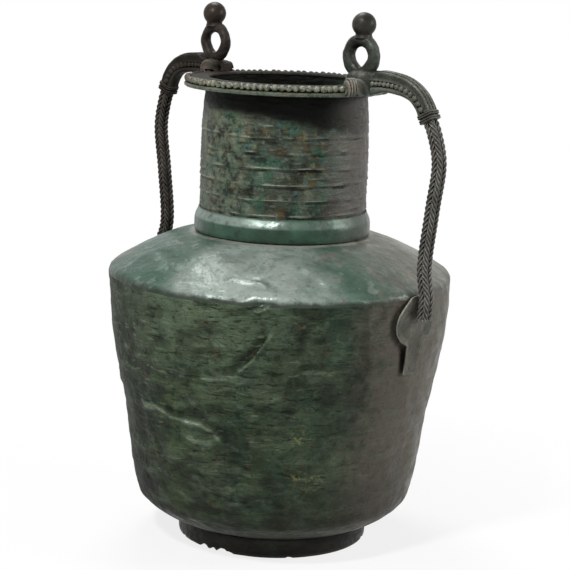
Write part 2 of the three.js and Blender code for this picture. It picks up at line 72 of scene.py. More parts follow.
# %% Camera
CAMERA_TURN = math.radians(39.0)
CAMERA_AWAY = 1613.65 * MM
CAMERA_UP = 544.38 * MM
CAMERA_ASIDE = 4.59 * MM
CAMERA_PITCH = 0.19192
CAMERA_ROLL = 0.035668
LENS = 113.99

toward = Vector((math.sin(CAMERA_TURN), -math.cos(CAMERA_TURN), 0))
right = Vector((math.cos(CAMERA_TURN), math.sin(CAMERA_TURN), 0))
ahead = -toward * math.cos(CAMERA_PITCH) - Vector((0, 0, math.sin(CAMERA_PITCH)))
above = right.cross(ahead)
view_x = right * math.cos(CAMERA_ROLL) + above * math.sin(CAMERA_ROLL)
view_y = above * math.cos(CAMERA_ROLL) - right * math.sin(CAMERA_ROLL)

bpy.ops.object.camera_add()
camera = bpy.context.object
camera.name = "camera"
camera.data.lens = LENS
camera.data.sensor_width = 36.0
turn = Matrix((view_x, view_y, -ahead)).transposed().to_4x4()
spot = toward * CAMERA_AWAY + Vector((0, 0, CAMERA_UP)) + right * CAMERA_ASIDE
camera.matrix_world = Matrix.Translation(spot) @ turn
scene.camera = camera
scene.view_settings.view_transform = "Standard"
print("camera at", [round(v, 3) for v in spot])

# %% [markdown]
# ## Helpers
# Two short helpers for materials, and a few for meshes. A colour is written as it looks on
# a screen and turned into linear light for the shader. Everything is deselected before an
# operator runs, because an operator changes all that is selected. Each finished piece rides
# on the one body that the jar has, and takes the place of its node in the frame.

# %% Colour and node helpers
def colour(text):
    """Linear RGBA from an sRGB hex value."""
    parts = [int(text[i:i + 2], 16) / 255 for i in (1, 3, 5)]
    return [c / 12.92 if c <= 0.04045 else ((c + 0.055) / 1.055) ** 2.4 for c in parts] + [1]


def add(tree, kind, inputs=None, **settings):
    """Adds a node. Each input is a constant, or another node's socket to link."""
    made = tree.nodes.new(kind)
    for key, value in settings.items():
        setattr(made, key, value)
    for key, value in (inputs or {}).items():
        if isinstance(value, bpy.types.NodeSocket):
            tree.links.new(value, made.inputs[key])
        else:
            made.inputs[key].default_value = value
    return made


# %% Mesh helpers
def only(obj=None):
    """Leaves edit mode and selects one object, or none."""
    if bpy.context.object and bpy.context.object.mode != "OBJECT":
        bpy.ops.object.mode_set(mode="OBJECT")
    bpy.ops.object.select_all(action="DESELECT")
    if obj:
        obj.select_set(True)
        bpy.context.view_layer.objects.active = obj


def open_mesh(obj, kind="verts", test=None):
    """Opens a mesh for editing with all of it selected, or only what passes a test."""
    only(obj)
    bpy.ops.object.mode_set(mode="EDIT")
    bpy.ops.mesh.select_all(action="DESELECT" if test else "SELECT")
    if test:
        mesh = bmesh.from_edit_mesh(obj.data)
        for part in getattr(mesh, kind):
            part.select = test(part)
        bmesh.update_edit_mesh(obj.data)


def close_mesh():
    bpy.ops.object.mode_set(mode="OBJECT")
    return bpy.context.object


def modify(obj, kind, **settings):
    """Adds a modifier with its settings and applies it."""
    modifier = obj.modifiers.new(kind, kind)
    for key, value in settings.items():
        setattr(modifier, key, value)
    only(obj)
    bpy.ops.object.modifier_apply(modifier=modifier.name)


def join(obj, *others):
    """Makes the other objects part of the first."""
    only(obj)
    for other in others:
        other.select_set(True)
    bpy.ops.object.join()
    return obj


def settle(obj, name, material, slot, *nodes, angle=35):
    """Names the piece, puts its place into its mesh and hides the nodes it stands for."""
    only(obj)
    bpy.ops.object.transform_apply()
    bpy.ops.object.shade_smooth_by_angle(angle=math.radians(angle))
    obj.name = name
    obj.data.materials.clear()
    obj.data.materials.append(material)
    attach(obj, "root")
    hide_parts(*nodes)
    count = sum(len(face.vertices) - 2 for face in obj.data.polygons)
    print(f"{name}: {count} triangles")


# %% [markdown]
# ## Turned forms
# Foot, belly, shoulder, neck, collar and rim were raised and turned, so each is one line
# spun about the axis. A primitive gives the first vertex, extruding gives the line, and
# Spin turns it. A line that comes back to its start makes a closed wall.

# %% Lathe helpers
def smooth_line(points, per_span):
    """More points on the smooth curve through a few [radius, height] points."""
    out = []
    last = len(points) - 1
    for i in range(last):
        a, b = Vector(points[max(i - 1, 0)]), Vector(points[i])
        c, d = Vector(points[i + 1]), Vector(points[min(i + 2, last)])
        for k in range(per_span):
            t = k / per_span
            p = 0.5 * (2 * b + (c - a) * t + (2 * a - 5 * b + 4 * c - d) * t * t
                       + (3 * b - a - 3 * c + d) * t ** 3)
            out.append([p.x, p.y])
    out.append(list(points[last]))
    return out


def spin(line, steps, closed=True):
    """Turns a line of [radius, height] points, in mm, about the vessel's axis."""
    only()
    start = Vector((line[0][0] * MM, 0, line[0][1] * MM))
    bpy.ops.mesh.primitive_plane_add(size=0.002, location=start)
    bpy.ops.object.transform_apply()
    open_mesh(bpy.context.object)
    bpy.ops.mesh.merge(type="CENTER")
    for (r0, z0), (r1, z1) in zip(line, line[1:]):
        step = ((r1 - r0) * MM, 0, (z1 - z0) * MM)
        bpy.ops.mesh.extrude_region_move(TRANSFORM_OT_translate={"value": step})
    bpy.ops.mesh.select_all(action="SELECT")
    if closed:
        bpy.ops.mesh.remove_doubles(threshold=1e-6)
    bpy.ops.mesh.spin(steps=steps, angle=2 * math.pi, center=(0, 0, 0), axis=(0, 0, 1))
    bpy.ops.mesh.select_all(action="SELECT")
    bpy.ops.mesh.remove_doubles(threshold=1e-6)
    bpy.ops.mesh.normals_make_consistent(inside=False)
    return close_mesh()


def facing_out(obj):
    """Turns an open shell's faces away from the vessel's axis if they look inward."""
    total = sum(f.normal.dot(Vector((f.center.x, f.center.y, 0))) * f.area
                for f in obj.data.polygons)
    if total < 0:
        open_mesh(obj)
        bpy.ops.mesh.flip_normals()
        close_mesh()
    return obj


def evenly(line, pitch):
    """The same line with its points a fixed pitch apart, in mm."""
    out, carried = [list(line[0])], 0.0
    for (r0, z0), (r1, z1) in zip(line, line[1:]):
        length = math.hypot(r1 - r0, z1 - z0)
        at = pitch - carried
        while at < length:
            t = at / length
            out.append([r0 + (r1 - r0) * t, z0 + (z1 - z0) * t])
            at += pitch
        carried = (carried + length) % pitch
    if carried > pitch * 0.3:
        out.append(list(line[-1]))
    else:
        out[-1] = list(line[-1])
    return out


# %% [markdown]
# ## Dents, ridges and hammer marks
# Thin old sheet is full of dents. A broad dent is a push on one point with proportional
# editing, as by hand. A crease or a turned line is painted as vertex weights along a path,
# and a Displace modifier raises or sinks what is painted. Clouds give the uneven hammering.

# %% Dents
def on_wall(radius, azimuth, height):
    """A point in metres from radius, degrees about the axis and height."""
    turn = math.radians(azimuth)
    return Vector((math.cos(turn) * radius, math.sin(turn) * radius, height)) * MM


def push(obj, dents):
    """Each dent is (azimuth, height, radius of the wall, depth, reach), in degrees and mm."""
    open_mesh(obj)
    for azimuth, height, radius, depth, reach in dents:
        target = on_wall(radius, azimuth, height)
        bpy.ops.mesh.select_all(action="DESELECT")
        mesh = bmesh.from_edit_mesh(obj.data)
        nearest = min(mesh.verts, key=lambda v: (v.co - target).length_squared)
        nearest.select = True
        bmesh.update_edit_mesh(obj.data)
        bpy.ops.transform.translate(value=nearest.normal * depth * MM, use_proportional_edit=True,
                                    proportional_edit_falloff="SMOOTH",
                                    proportional_size=reach * MM)
    close_mesh()


# %% Painted relief
def places(obj):
    """All vertex places of a mesh in mm, one row each."""
    flat = np.zeros(len(obj.data.vertices) * 3)
    obj.data.vertices.foreach_get("co", flat)
    return flat.reshape(-1, 3) / MM


def beside(spots, path):
    """Distance of each spot from a path of points, its side and how far along it lies."""
    best = np.full(len(spots), 1e9)
    side = np.zeros(len(spots))
    along = np.zeros(len(spots))
    outward = spots * [1, 1, 0]
    for i, (a, b) in enumerate(zip(path, path[1:])):
        a, step = np.array(a), np.array(b) - np.array(a)
        t = np.clip((spots - a) @ step / (step @ step), 0, 1)
        off = spots - a - t[:, None] * step
        far = np.linalg.norm(off, axis=1)
        near = far < best
        turn = np.einsum("ij,ij->i", np.cross(step, off), outward)
        best[near], side[near] = far[near], np.sign(turn[near])
        along[near] = (i + t[near]) / (len(path) - 1)
    return best, side, along


def displace(obj, heights, direction="NORMAL"):
    """Moves each vertex by its own height in mm, through a painted group for each sign."""
    for sign in (1, -1):
        amount = np.clip(heights * sign, 0, None)
        top = amount.max()
        if top < 0.005:
            continue
        group = obj.vertex_groups.new(name="painted")
        for index in np.nonzero(amount > top * 0.01)[0]:
            group.add([int(index)], float(amount[index] / top), "REPLACE")
        modify(obj, "DISPLACE", vertex_group=group.name, direction=direction, mid_level=0.0,
               strength=sign * top * MM)
        obj.vertex_groups.clear()


def keep_relief(obj, heights):
    """Keeps the relief in mm as an attribute, so that a finish can follow it."""
    kept = obj.data.attributes.new("relief", "FLOAT", "POINT")
    kept.data.foreach_set("value", np.asarray(heights, dtype=np.float32))


def crease(spots, path, ridge, valley, width):
    """Heights of a fold along a path: a ridge on its left and a valley on its right."""
    far, side, along = beside(spots, path)
    signed = far * side
    fade = np.clip(np.minimum(along, 1 - along) * 5, 0, 1) ** 0.7
    up = ridge * np.exp(-((signed - width * 0.5) / width) ** 2)
    down = valley * np.exp(-((signed + width * 1.6) / (width * 1.8)) ** 2)
    return (up - down) * fade


def wrinkles(spots, wide, high, octaves=4):
    """Uneven heights about 0, drawn out along the wall: wide and high are sizes in mm."""
    return np.array([noise.fractal(Vector((x / wide, y / wide, z / high)), 0.75, 2.1, octaves)
                     for x, y, z in spots])


def hammer(obj, amount, size):
    """Uneven hammering: clouds of a size move the surface by up to an amount, both in mm."""
    clouds = bpy.data.textures.new("hammering", "CLOUDS")
    clouds.noise_scale = size * MM
    clouds.noise_depth = 1
    modify(obj, "DISPLACE", texture=clouds, texture_coords="LOCAL", strength=amount * MM)


# %% [markdown]
# ## Patina
# Old bronze is covered by a patina: green and brown copper compounds, uneven in colour and
# gloss, with a dull metal glint where handling wore it. A class builds such a finish: clouds
# give a ground of several tones, layers add a colour where their masks say, and gloss and
# bump follow the same clouds. Patterns read Object coordinates, so their sizes are real.

# %% Ground of a patina
class Patina:
    """A material under construction. A mask is a socket, a number, or inputs for steps."""

    def __init__(self, name, metallic, specular):
        self.material = bpy.data.materials.new(name)
        self.material.use_nodes = True
        self.tree = self.material.node_tree
        self.bsdf = self.tree.nodes["Principled BSDF"]
        self.bsdf.inputs["Metallic"].default_value = metallic
        self.bsdf.inputs["Specular IOR Level"].default_value = specular
        self.add = partial(add, self.tree)
        self.where = self.add("ShaderNodeTexCoord").outputs["Object"]

    def blotches(self, size, detail=5, seed=0.0, blur=0.55, warp=0.0, flat=1):
        """Soft clouds of a size in mm, from 0 to 1, pressed flat by a factor."""
        placed = self.add("ShaderNodeMapping", {
            "Vector": self.where, "Scale": (1, 1, flat), "Location": (seed, seed * 0.7, seed * 1.3)})
        return self.add("ShaderNodeTexNoise", {
            "Vector": placed.outputs[0], "Scale": 1000 / size, "Detail": detail,
            "Roughness": blur, "Distortion": warp}).outputs[0]

    def folds(self, *clouds, **settings):
        """Crisp winding lines, like creases in sheet: 0 on a line and about 0.2 between."""
        off = self.joined("ADD", self.blotches(*clouds, **settings), -0.5)
        return self.add("ShaderNodeMath", {0: off}, operation="ABSOLUTE").outputs[0]

    def steps(self, source, low, high, end=1.0, start=0.0):
        """A smooth step of a value, from start at low to end at high."""
        return self.add("ShaderNodeMapRange", {
            "Value": source, "From Min": low, "From Max": high, "To Min": start, "To Max": end},
            interpolation_type="SMOOTHSTEP").outputs[0]

    def joined(self, how, *masks):
        """Masks joined by an operation. A tuple stands for steps of its first value."""
        masks = [self.steps(*mask) if isinstance(mask, tuple) else mask for mask in masks]
        total = masks[0]
        for mask in masks[1:]:
            total = self.add("ShaderNodeMath", {0: total, 1: mask}, operation=how).outputs[0]
        return total

    def times(self, *masks):
        return self.joined("MULTIPLY", *masks)

    def shaken(self, source, clouds, amount):
        """A value made uneven by clouds."""
        return self.joined("ADD", source, self.times(self.joined("ADD", clouds, -0.5), amount))

    def tones(self, source, *stops):
        """Colours over a value from 0 to 1: stops are (place, hex)."""
        ramp = self.add("ShaderNodeValToRGB", {"Fac": source})
        points = ramp.color_ramp.elements
        while len(points) < len(stops):
            points.new(0.5)
        for point, (at, text) in zip(points, stops):
            point.position = at
            point.color = colour(text)
        self.colour = ramp.outputs["Color"]

    def layer(self, text, *masks):
        """Another colour, as far as the product of the masks goes."""
        self.colour = self.add("ShaderNodeMix", {
            0: self.times(*masks), 6: self.colour, 7: colour(text)}, data_type="RGBA").outputs[2]

    def from_above(self):
        """The spot's place seen from above."""
        return self.add("ShaderNodeVectorMath", {0: self.where, 1: (1, 1, 0)},
                        operation="MULTIPLY").outputs[0]

    def facing(self, azimuth):
        """Cosine of the angle about the axis between the spot and an azimuth."""
        turn = math.radians(azimuth)
        unit = self.add("ShaderNodeVectorMath", {0: self.from_above()}, operation="NORMALIZE")
        return self.add("ShaderNodeVectorMath", {
            0: unit.outputs[0], 1: (math.cos(turn), math.sin(turn), 0)},
            operation="DOT_PRODUCT").outputs["Value"]

    def level(self):
        """Height of the spot in metres."""
        return self.add("ShaderNodeSeparateXYZ", {0: self.where}).outputs[2]

    def reach(self):
        """Distance of the spot from the vessel's axis in metres."""
        return self.add("ShaderNodeVectorMath", {0: self.from_above()},
                        operation="LENGTH").outputs["Value"]

    def near(self, spot, reach):
        """1 at a spot, falling to 0 at a reach in mm."""
        away = self.add("ShaderNodeVectorMath", {0: self.where, 1: spot}, operation="DISTANCE")
        return self.steps(away.outputs["Value"], reach * MM, reach * MM * 0.15)

    def relief(self):
        """The height in mm that keep_relief left on the mesh."""
        return self.add("ShaderNodeAttribute", attribute_name="relief").outputs["Fac"]

    def edges(self):
        """Over 0.5 on outer edges, which handling wears, and under it in grooves."""
        return self.add("ShaderNodeNewGeometry").outputs["Pointiness"]

    def finish(self, rough, *heights):
        """Sets roughness from (source, low, high) and bump from (source, mm) pairs."""
        source, low, high = rough
        outcome = {"Roughness": self.steps(source, 0.35, 0.65, high, low), "Base Color": self.colour}
        for source, depth in heights:
            bump = self.add("ShaderNodeBump", {
                "Height": source, "Strength": 1.0, "Distance": depth * MM})
            if "Normal" in outcome:
                self.tree.links.new(outcome["Normal"], bump.inputs["Normal"])
            outcome["Normal"] = bump.outputs[0]
        for key, socket in outcome.items():
            self.tree.links.new(socket, self.bsdf.inputs[key])
        print("finish:", self.material.name, len(self.tree.nodes), "nodes")
        return self.material


# %% [markdown]
# ## Finishes of the vessel
# Belly and shoulder are one raised sheet in look: satin, dark green, browner on the side
# that faces right, with faint level lines from smoothing on the wheel. The shoulder is
# paler on its front, where dust lay and where a highlight is painted in.

# %% Patina of the belly
# copper carbonate patina over raised sheet: dark, satin, mottled in patches of a palm's size
p = Patina("belly_green_patina", 0.1, 0.07)
big = p.blotches(64, 7, warp=0.5)
mid = p.blotches(13, 7, 3, 0.62)
fine = p.blotches(4, 5, 7, 0.65)
lines = p.blotches(34, 4, 1, flat=5)
dashes = p.blotches(15, 5, 41, 0.6, 0.3, flat=4.5)
creases = p.folds(30, 4, 31, 0.5, 0.8, flat=2.4)
small = p.folds(11, 4, 33, 0.55, 0.5, flat=1.7)
relief = p.relief()
# the sheet is rough on the front, and duller and smoother where it turns away to the left
rougher = p.steps(p.facing(-78), 0.25, 0.9, 1, 0.25)
calm = p.steps(p.facing(-70), -0.1, 0.6, 1, 0.3)
left_side = p.steps(p.facing(-146), 0.5, 0.93)
upper = p.times((p.level(), 0.06, 0.15, 1, 0.4), (p.facing(-88), 0.4, 0.9))
p.tones(big, (0.3, "#1f251d"), (0.44, "#293126"), (0.55, "#353e31"), (0.7, "#434d3c"))
p.layer("#243b2f", (p.blotches(34, 7, 21), 0.45, 0.62, 0.5))
p.layer("#404d34", (p.facing(-98), 0.55, 0.97), (p.blotches(24, 7, 5), 0.46, 0.6, 0.7))
# painted light: the upper front of the belly is lighter, where the light falls strongest
p.layer("#5a6753", (p.level(), 0.14, 0.235), (p.facing(-88), 0.6, 0.95), 0.55)
# painted shade: the side that turns away to the left is darker
p.layer("#1e221a", left_side, 0.8)
# brown-grey on the side that faces right
p.layer("#57514a", (p.shaken(p.facing(28), mid, 0.35), 0.5, 0.82, 0.85))
p.layer("#625f57", (p.facing(32), 0.8, 0.98), (lines, 0.38, 0.62, 0.6, 0.1))
p.layer("#171c14", (mid, 0.47, 0.38, 0.55), rougher)
p.layer("#526150", (mid, 0.54, 0.64, 0.4), rougher)
p.layer("#56634f", (lines, 0.55, 0.68, 0.25))
# darker in the dents and folds and lighter on their crests, as dirt and rubbing and as painted shade
# and highlight; the palest crests are a painted highlight
p.layer("#161b14", (relief, -0.05, -0.8, 0.4))
p.layer("#505e4c", (relief, 0.05, 0.8, 0.3))
p.layer("#12150f", (relief, -0.6, -2.0, 0.6))
p.layer("#78856f", (relief, 0.6, 1.8, 0.65))
p.layer("#98a193", (relief, 1.6, 2.3, 0.7))
# fine level scratches and creases, dark and light
p.layer("#10140d", (dashes, 0.42, 0.35, 0.75), rougher)
p.layer("#66735f", (dashes, 0.59, 0.66, 0.5), upper)
p.layer("#0e110c", (creases, 0.02, 0.0, 0.45), rougher)
p.layer("#10130d", (small, 0.015, 0.0, 0.3), rougher)
p.layer("#141711", (fine, 0.57, 0.68, 0.35))
p.layer("#533d2b", (p.blotches(9, 4, 8), 0.62, 0.74, 0.45))
# four yellowish crusts, low on the right of the front
for azimuth, height, reach in ((-41.6, 126, 15), (-42, 92, 12), (-37, 83, 13), (-35, 85, 9)):
    p.layer("#77764c", (fine, 0.5, 0.6), p.near(on_wall(136, azimuth, height), reach), 0.7)
# darker towards the foot
p.layer("#22211b", (p.level(), 0.12, 0.02, 0.6), (big, 0.4, 0.6, 1, 0.5))
# painted shade, deepest low on the left side
p.layer("#12140e", left_side, (p.level(), 0.14, 0.05, 0.7))
# a painted shadow beside the lifted left edge of the right plate, whose middle is at -2 degrees
for across, height, dark in (
        (-22.5, 236, 0.4), (-25.5, 231, 0.5), (-27, 226, 0.6), (-27, 221, 0.6), (-26, 216, 0.6),
        (-23.5, 211, 0.6), (-19.5, 206.5, 0.6), (-14.5, 202, 0.7), (-12.2, 198, 0.85),
        (-11.4, 194, 0.9), (-10.8, 190, 0.9), (-10.2, 186, 0.9), (-9.8, 182, 0.9),
        (-9.5, 178, 0.85)):
    p.layer("#0b0b08", p.near(on_wall(151.5, -2 + math.degrees(across / 152), height), 5.5), dark)
dull = p.joined("MAXIMUM", mid, p.times(left_side, 0.75))
BELLY = p.finish((dull, 0.32, 0.56), (big, 3.4), (p.times(lines, calm), 0.6),
                 (p.times(creases, rougher), 3.0), (p.times(small, rougher), 1.4),
                 (p.times(mid, calm), 1.1), (p.times(dashes, rougher), 0.9))

# %% Patina of the shoulder
# the same patina, pale grey-green on top where dust lay, with a painted highlight on its front
p = Patina("shoulder_pale_patina", 0.22, 0.22)
big = p.blotches(46, 7, 2, warp=0.5)
mid = p.blotches(12, 7, 6, 0.62)
fine = p.blotches(4, 5, 4, 0.62)
creases = p.folds(34, 4, 35, 0.5, 0.8, flat=1.5)
small = p.folds(12, 4, 37, 0.55, 0.5)
relief = p.relief()
p.tones(big, (0.3, "#2b4235"), (0.45, "#375042"), (0.58, "#465d4f"), (0.72, "#5b6d62"))
p.layer("#776f69", (p.blotches(26, 6, 9, flat=2), 0.5, 0.66, 0.55))
# darker green on the left, as patina and as painted shade
p.layer("#284236", (p.facing(-130), 0.5, 0.92, 0.85))
p.layer("#5b564e", (p.facing(42), 0.3, 0.92, 0.75))
# a pale front, as dust and as a painted highlight
p.layer("#97a09a", (p.facing(-60), 0.8, 0.98), (big, 0.35, 0.6, 1, 0.45), 0.75)
p.layer("#2c3b31", (mid, 0.46, 0.37, 0.3))
p.layer("#87928b", (mid, 0.54, 0.64, 0.3))
# painted shade in the hollows of the folds and a near-white painted highlight on their crests
p.layer("#36433a", (relief, -0.25, -1.9, 0.6))
p.layer("#b3bab4", (relief, 0.35, 1.9, 0.75))
p.layer("#29332b", (creases, 0.015, 0.0, 0.2))
p.layer("#28332b", (fine, 0.57, 0.68, 0.4))
# dust along the collar, a brown patch on the left, and the belly's dark green below the edge
p.layer("#8b877d", (p.reach(), 0.0850, 0.0812), (mid, 0.4, 0.6, 0.75, 0.3))
p.layer("#55463f", p.near(on_wall(149, -142, 250), 34), 0.5)
below = p.steps(p.shaken(p.level(), mid, 0.007), 0.2480, 0.2432, 0.9)
p.layer("#262e24", below)
p.layer("#4a453f", below, (p.facing(30), 0.6, 0.85))
SHOULDER = p.finish((big, 0.5, 0.32), (big, 2.6), (creases, 2.2), (small, 0.7), (mid, 0.8),
                    (fine, 0.15))

# %% Patina of the neck
# thinner patina over turned lines: green, brown and blue-grey, with copper showing through
p = Patina("neck_mottled_patina", 0.15, 0.1)
big = p.blotches(32, 7, 1.5, warp=0.6)
mid = p.blotches(9, 7, 8, 0.64)
fine = p.blotches(3, 5, 12, 0.65)
lines = p.blotches(16, 6, 2.5, 0.6, flat=5)
small = p.folds(10, 4, 39, 0.55, 0.5, flat=1.6)
relief = p.relief()
# the side that faces right is smooth
rougher = p.steps(p.facing(-85), 0.3, 0.8, 1, 0.15)
p.tones(big, (0.3, "#1e211a"), (0.44, "#2d3128"), (0.56, "#3d4238"), (0.7, "#51574b"))
p.layer("#2c5040", (p.blotches(20, 6, 23), 0.48, 0.64, 0.65))
p.layer("#4d3c22", (p.blotches(11, 5, 11), 0.53, 0.67, 0.6))
p.layer("#475f63", (p.blotches(8, 6, 14), 0.55, 0.68, 0.5))
p.layer("#5a5652", (p.facing(32), 0.5, 0.86, 0.85))
# lighter grey-green on the left, as patina and as painted light
p.layer("#656b5b", (p.facing(-108), 0.7, 0.96), (mid, 0.42, 0.58, 0.7, 0.1))
p.layer("#11130d", (mid, 0.47, 0.38, 0.65), rougher)
p.layer("#6b7261", (mid, 0.54, 0.64, 0.5), rougher)
p.layer("#737b70", (lines, 0.58, 0.7, 0.3))
# painted shade under the turned lines and in hollows, and a painted highlight on their crests
p.layer("#0e100b", (relief, -0.12, -0.6, 0.85))
p.layer("#848b7d", (relief, 0.12, 0.5, 0.6), rougher)
p.layer("#0f110b", (small, 0.02, 0.0, 0.5), rougher)
p.layer("#6f5a34", (p.blotches(6, 5, 13), 0.6, 0.74, 0.5))
p.layer("#14170f", (fine, 0.58, 0.7, 0.35), rougher)
# a painted shadow of the rim on the neck, which ends higher on the left and fades on the right
under = p.joined("ADD", p.shaken(p.level(), mid, 0.02), p.times(p.facing(-130), -0.012))
rim_shadow = p.times((under, 0.378, 0.389), (p.facing(40), 0.4, 0.95, 0.4, 1))
p.layer("#060605", rim_shadow, 0.97)
NECK = p.finish((p.joined("MAXIMUM", mid, rim_shadow), 0.34, 0.6), (big, 1.8), (lines, 1.0),
                (small, 1.0), (mid, 0.9))

# %% Patina of the collar
# a smooth band whose upper bend carries a painted highlight, brightest towards the left front
p = Patina("collar_patina_painted_highlight", 0.35, 0.36)
big = p.blotches(28, 6, 5)
mid = p.blotches(9, 6, 16, 0.6)
fine = p.blotches(4, 4, 6)
p.tones(big, (0.3, "#213327"), (0.5, "#2b4536"), (0.7, "#3b5a48"))
# a painted highlight along the upper bend, brightest towards the left front
p.layer("#75837b", (p.level(), 0.2930, 0.2955), (p.level(), 0.3035, 0.2998),
        (p.facing(-95), 0.5, 0.98, 1, 0.3), (mid, 0.35, 0.6, 1, 0.5))
p.layer("#3c3d37", (p.facing(30), 0.5, 0.95, 0.7))
p.layer("#1b221b", (mid, 0.43, 0.32, 0.5))
p.layer("#1c251e", (fine, 0.58, 0.7, 0.4))
COLLAR = p.finish((big, 0.28, 0.44), (big, 1.2), (mid, 0.5), (fine, 0.15))

# %% Patina of the rim
# verdigris on the beads, dark between them as dirt and painted shade, and light on edges towards the
# front as yellowish rubbing and painted highlight
p = Patina("rim_verdigris", 0.15, 0.2)
big = p.blotches(24, 5, 4)
mid = p.blotches(8, 5, 19)
fine = p.blotches(3, 4, 2)
edge = p.edges()
p.tones(big, (0.3, "#1e2219"), (0.45, "#2d3228"), (0.58, "#3f4438"), (0.7, "#515547"))
p.layer("#54412b", (p.blotches(12, 4, 14), 0.53, 0.66, 0.6))
p.layer("#31463a", (p.level(), 0.4135, 0.4105, 0.7))
# the lip inside the beads is brown-black, and the far side of the rim is darkened as painted shade
inside = p.times((p.reach(), 0.0868, 0.0852), 0.9)
p.layer("#3a3026", (p.facing(-150), 0.7, 0.95, 0.75))
p.layer("#1b1a15", inside)
p.layer("#17130f", (p.facing(-85), 0.45, 0.0, 0.95))
p.layer("#1d1f17", (mid, 0.45, 0.33, 0.6))
# painted shade with dirt in the grooves between beads, and a painted highlight with rubbing on edges
# facing the front
p.layer("#14150f", (edge, 0.49, 0.43))
p.layer("#7f8273", (edge, 0.52, 0.58), (p.facing(-66), 0.3, 0.9, 0.85, 0.1),
        (fine, 0.36, 0.56, 1, 0.1))
# blackened where the left handle is tied on
p.layer("#221b17", (p.facing(189), 0.955, 0.975), (p.level(), 0.4125, 0.4145))
dull = p.joined("MAXIMUM", p.times(mid, 0.85), inside)
RIM = p.finish((dull, 0.36, 0.9), (mid, 1.0), (fine, 0.5))

# %% Oxide of the foot
# brown-black near the ground, rubbed and chipped along the lower edge
p = Patina("foot_brown_oxide", 0.3, 0.14)
big = p.blotches(30, 5, 6, flat=3)
fine = p.blotches(4, 4, 7)
p.tones(big, (0.3, "#131310"), (0.5, "#1c1b17"), (0.7, "#2c2924"))
p.layer("#25342a", (p.blotches(14, 4, 15), 0.58, 0.7, 0.35))
p.layer("#4a453c", (p.level(), 0.0035, 0.0008, 0.5))
FOOT = p.finish((fine, 0.4, 0.62), (big, 0.8), (fine, 0.3))

# %% [markdown]
# ## Finishes of the handles
# The cast arms and twisted rods are browner than the vessel. Their ribs are lighter, as
# rubbing and as a painted highlight, and their grooves darker, as dirt and as painted
# shade. Pointiness finds ribs and grooves on the mesh.

# %% Patina of the handles
def handle_patina(name, tones, rib_wear_and_highlight_amount, green, rough, bump=1.0, shine=0.12, ties=(), brown=()):
    """tones are dark, middle, light, and ribs rubbed and painted bright. Places at ties are dusty, and
    at brown darker.
    """
    p = Patina(name, shine, shine)
    big = p.blotches(18, 5, 3.3)
    small = p.blotches(6, 5, 6.1)
    fine = p.blotches(2.5, 4, 4.4)
    edge = p.edges()
    *ground, rib_wear_and_highlight = tones.split()
    p.tones(big, *zip((0.32, 0.5, 0.68), ground))
    p.layer("#34483b", (p.blotches(17, 4, 5.5), 0.5, 0.66, green))
    for spot in ties:
        p.layer("#80766a", p.near(spot, 12), (small, 0.35, 0.6, 0.9, 0.45))
    p.layer("#14120f", (small, 0.44, 0.33, 0.5))
    # painted shade with dirt in the grooves, and a painted highlight with rubbing on the ribs
    p.layer("#0e0d0b", (edge, 0.498, 0.46))
    p.layer(rib_wear_and_highlight, (edge, 0.507, 0.56), (big, 0.3, 0.6, rib_wear_and_highlight_amount, 0.5))
    for spot in brown:
        p.layer("#28211d", p.near(spot, 62), (small, 0.3, 0.7, 0.3, 0.6))
    p.layer("#14120f", (fine, 0.6, 0.72, 0.4))
    return p.finish((small, *rough), (big, 1.2 * bump), (small, 1.2 * bump), (fine, 0.35 * bump))


# brown oxide on cast and twisted bar, greener on the right, and nearly black on the left
ARM_RIGHT = handle_patina("right_arm_grey_green_patina", "#1f211c #2e312b #3d4039 #73756c",
                          0.75, 0.7, (0.32, 0.5), ties=[on_wall(95, a, 418) for a in (-15, 15)],
                          brown=[on_wall(160, 0, 408)])
ARM_LEFT = handle_patina("left_arm_dark_patina", "#0f0d0b #171412 #221e1b #36322d",
                         0.8, 0.1, (0.44, 0.62), shine=0.05,
                         ties=[on_wall(93, a, z) for a, z in ((167, 421), (174, 424), (181, 422))])
ROD = handle_patina("twisted_rod_brown_patina", "#1f1d1a #2f2d2a #403e3a #706f69",
                    0.85, 0.15, (0.36, 0.52))
ROD_LEFT = handle_patina("left_rod_brown_patina", "#15120f #211d1a #2f2b27 #4f4b46",
                         0.9, 0.05, (0.38, 0.54), shine=0.08)
LOOP = handle_patina("loop_dark_patina", "#1c1d19 #292b26 #383b35 #5c5f59",
                     0.7, 0.45, (0.3, 0.44))
LOOP_LEFT = handle_patina("left_loop_brown_patina", "#171310 #231e1a #312b27 #4f4842",
                          0.7, 0.0, (0.36, 0.5), shine=0.08)
BALL = handle_patina("ball_polished_patina", "#1b1a17 #272622 #34332f #4a4944",
                     0.2, 0.1, (0.37, 0.45), 0.35, 0.1)
BALL_LEFT = handle_patina("left_ball_brown_patina", "#1b1511 #29221d #383029 #4f4740",
                          0.2, 0.0, (0.37, 0.45), 0.35, 0.1)
PLATE = handle_patina("plate_grey_brown_patina", "#45443d #53524a #626159 #86847a",
                      0.9, 0.3, (0.38, 0.54))

# %% [markdown]
# ## Belly and shoulder
# The sheet goes from the middle of the bottom, round a quick turn, up the steep wall and
# over a soft edge into the shoulder. It is spun as one shell, so that dents run over the
# edge. Then it is split into the two pieces of the frame and each gets its wall.

# %% The raised wall
WALL_POINTS = [
    [87, 17.5], [98, 21.8], [109, 27.3], [117, 33.5], [121.6, 37.8], [124.4, 42.5], [128, 56],
    [131.2, 72], [134.7, 96], [137.9, 120], [142.6, 144], [146.9, 168], [151.2, 192],
    [153.3, 216], [154.4, 232], [154.8, 239.5], [154.7, 243.2], [154.1, 245.9], [152.4, 248.3],
    [149.5, 250.2],
]


CONE_WIDE, CONE_RISE, CROWN = 83.3, 35.5, 5.5  # the shoulder's width, rise and doming


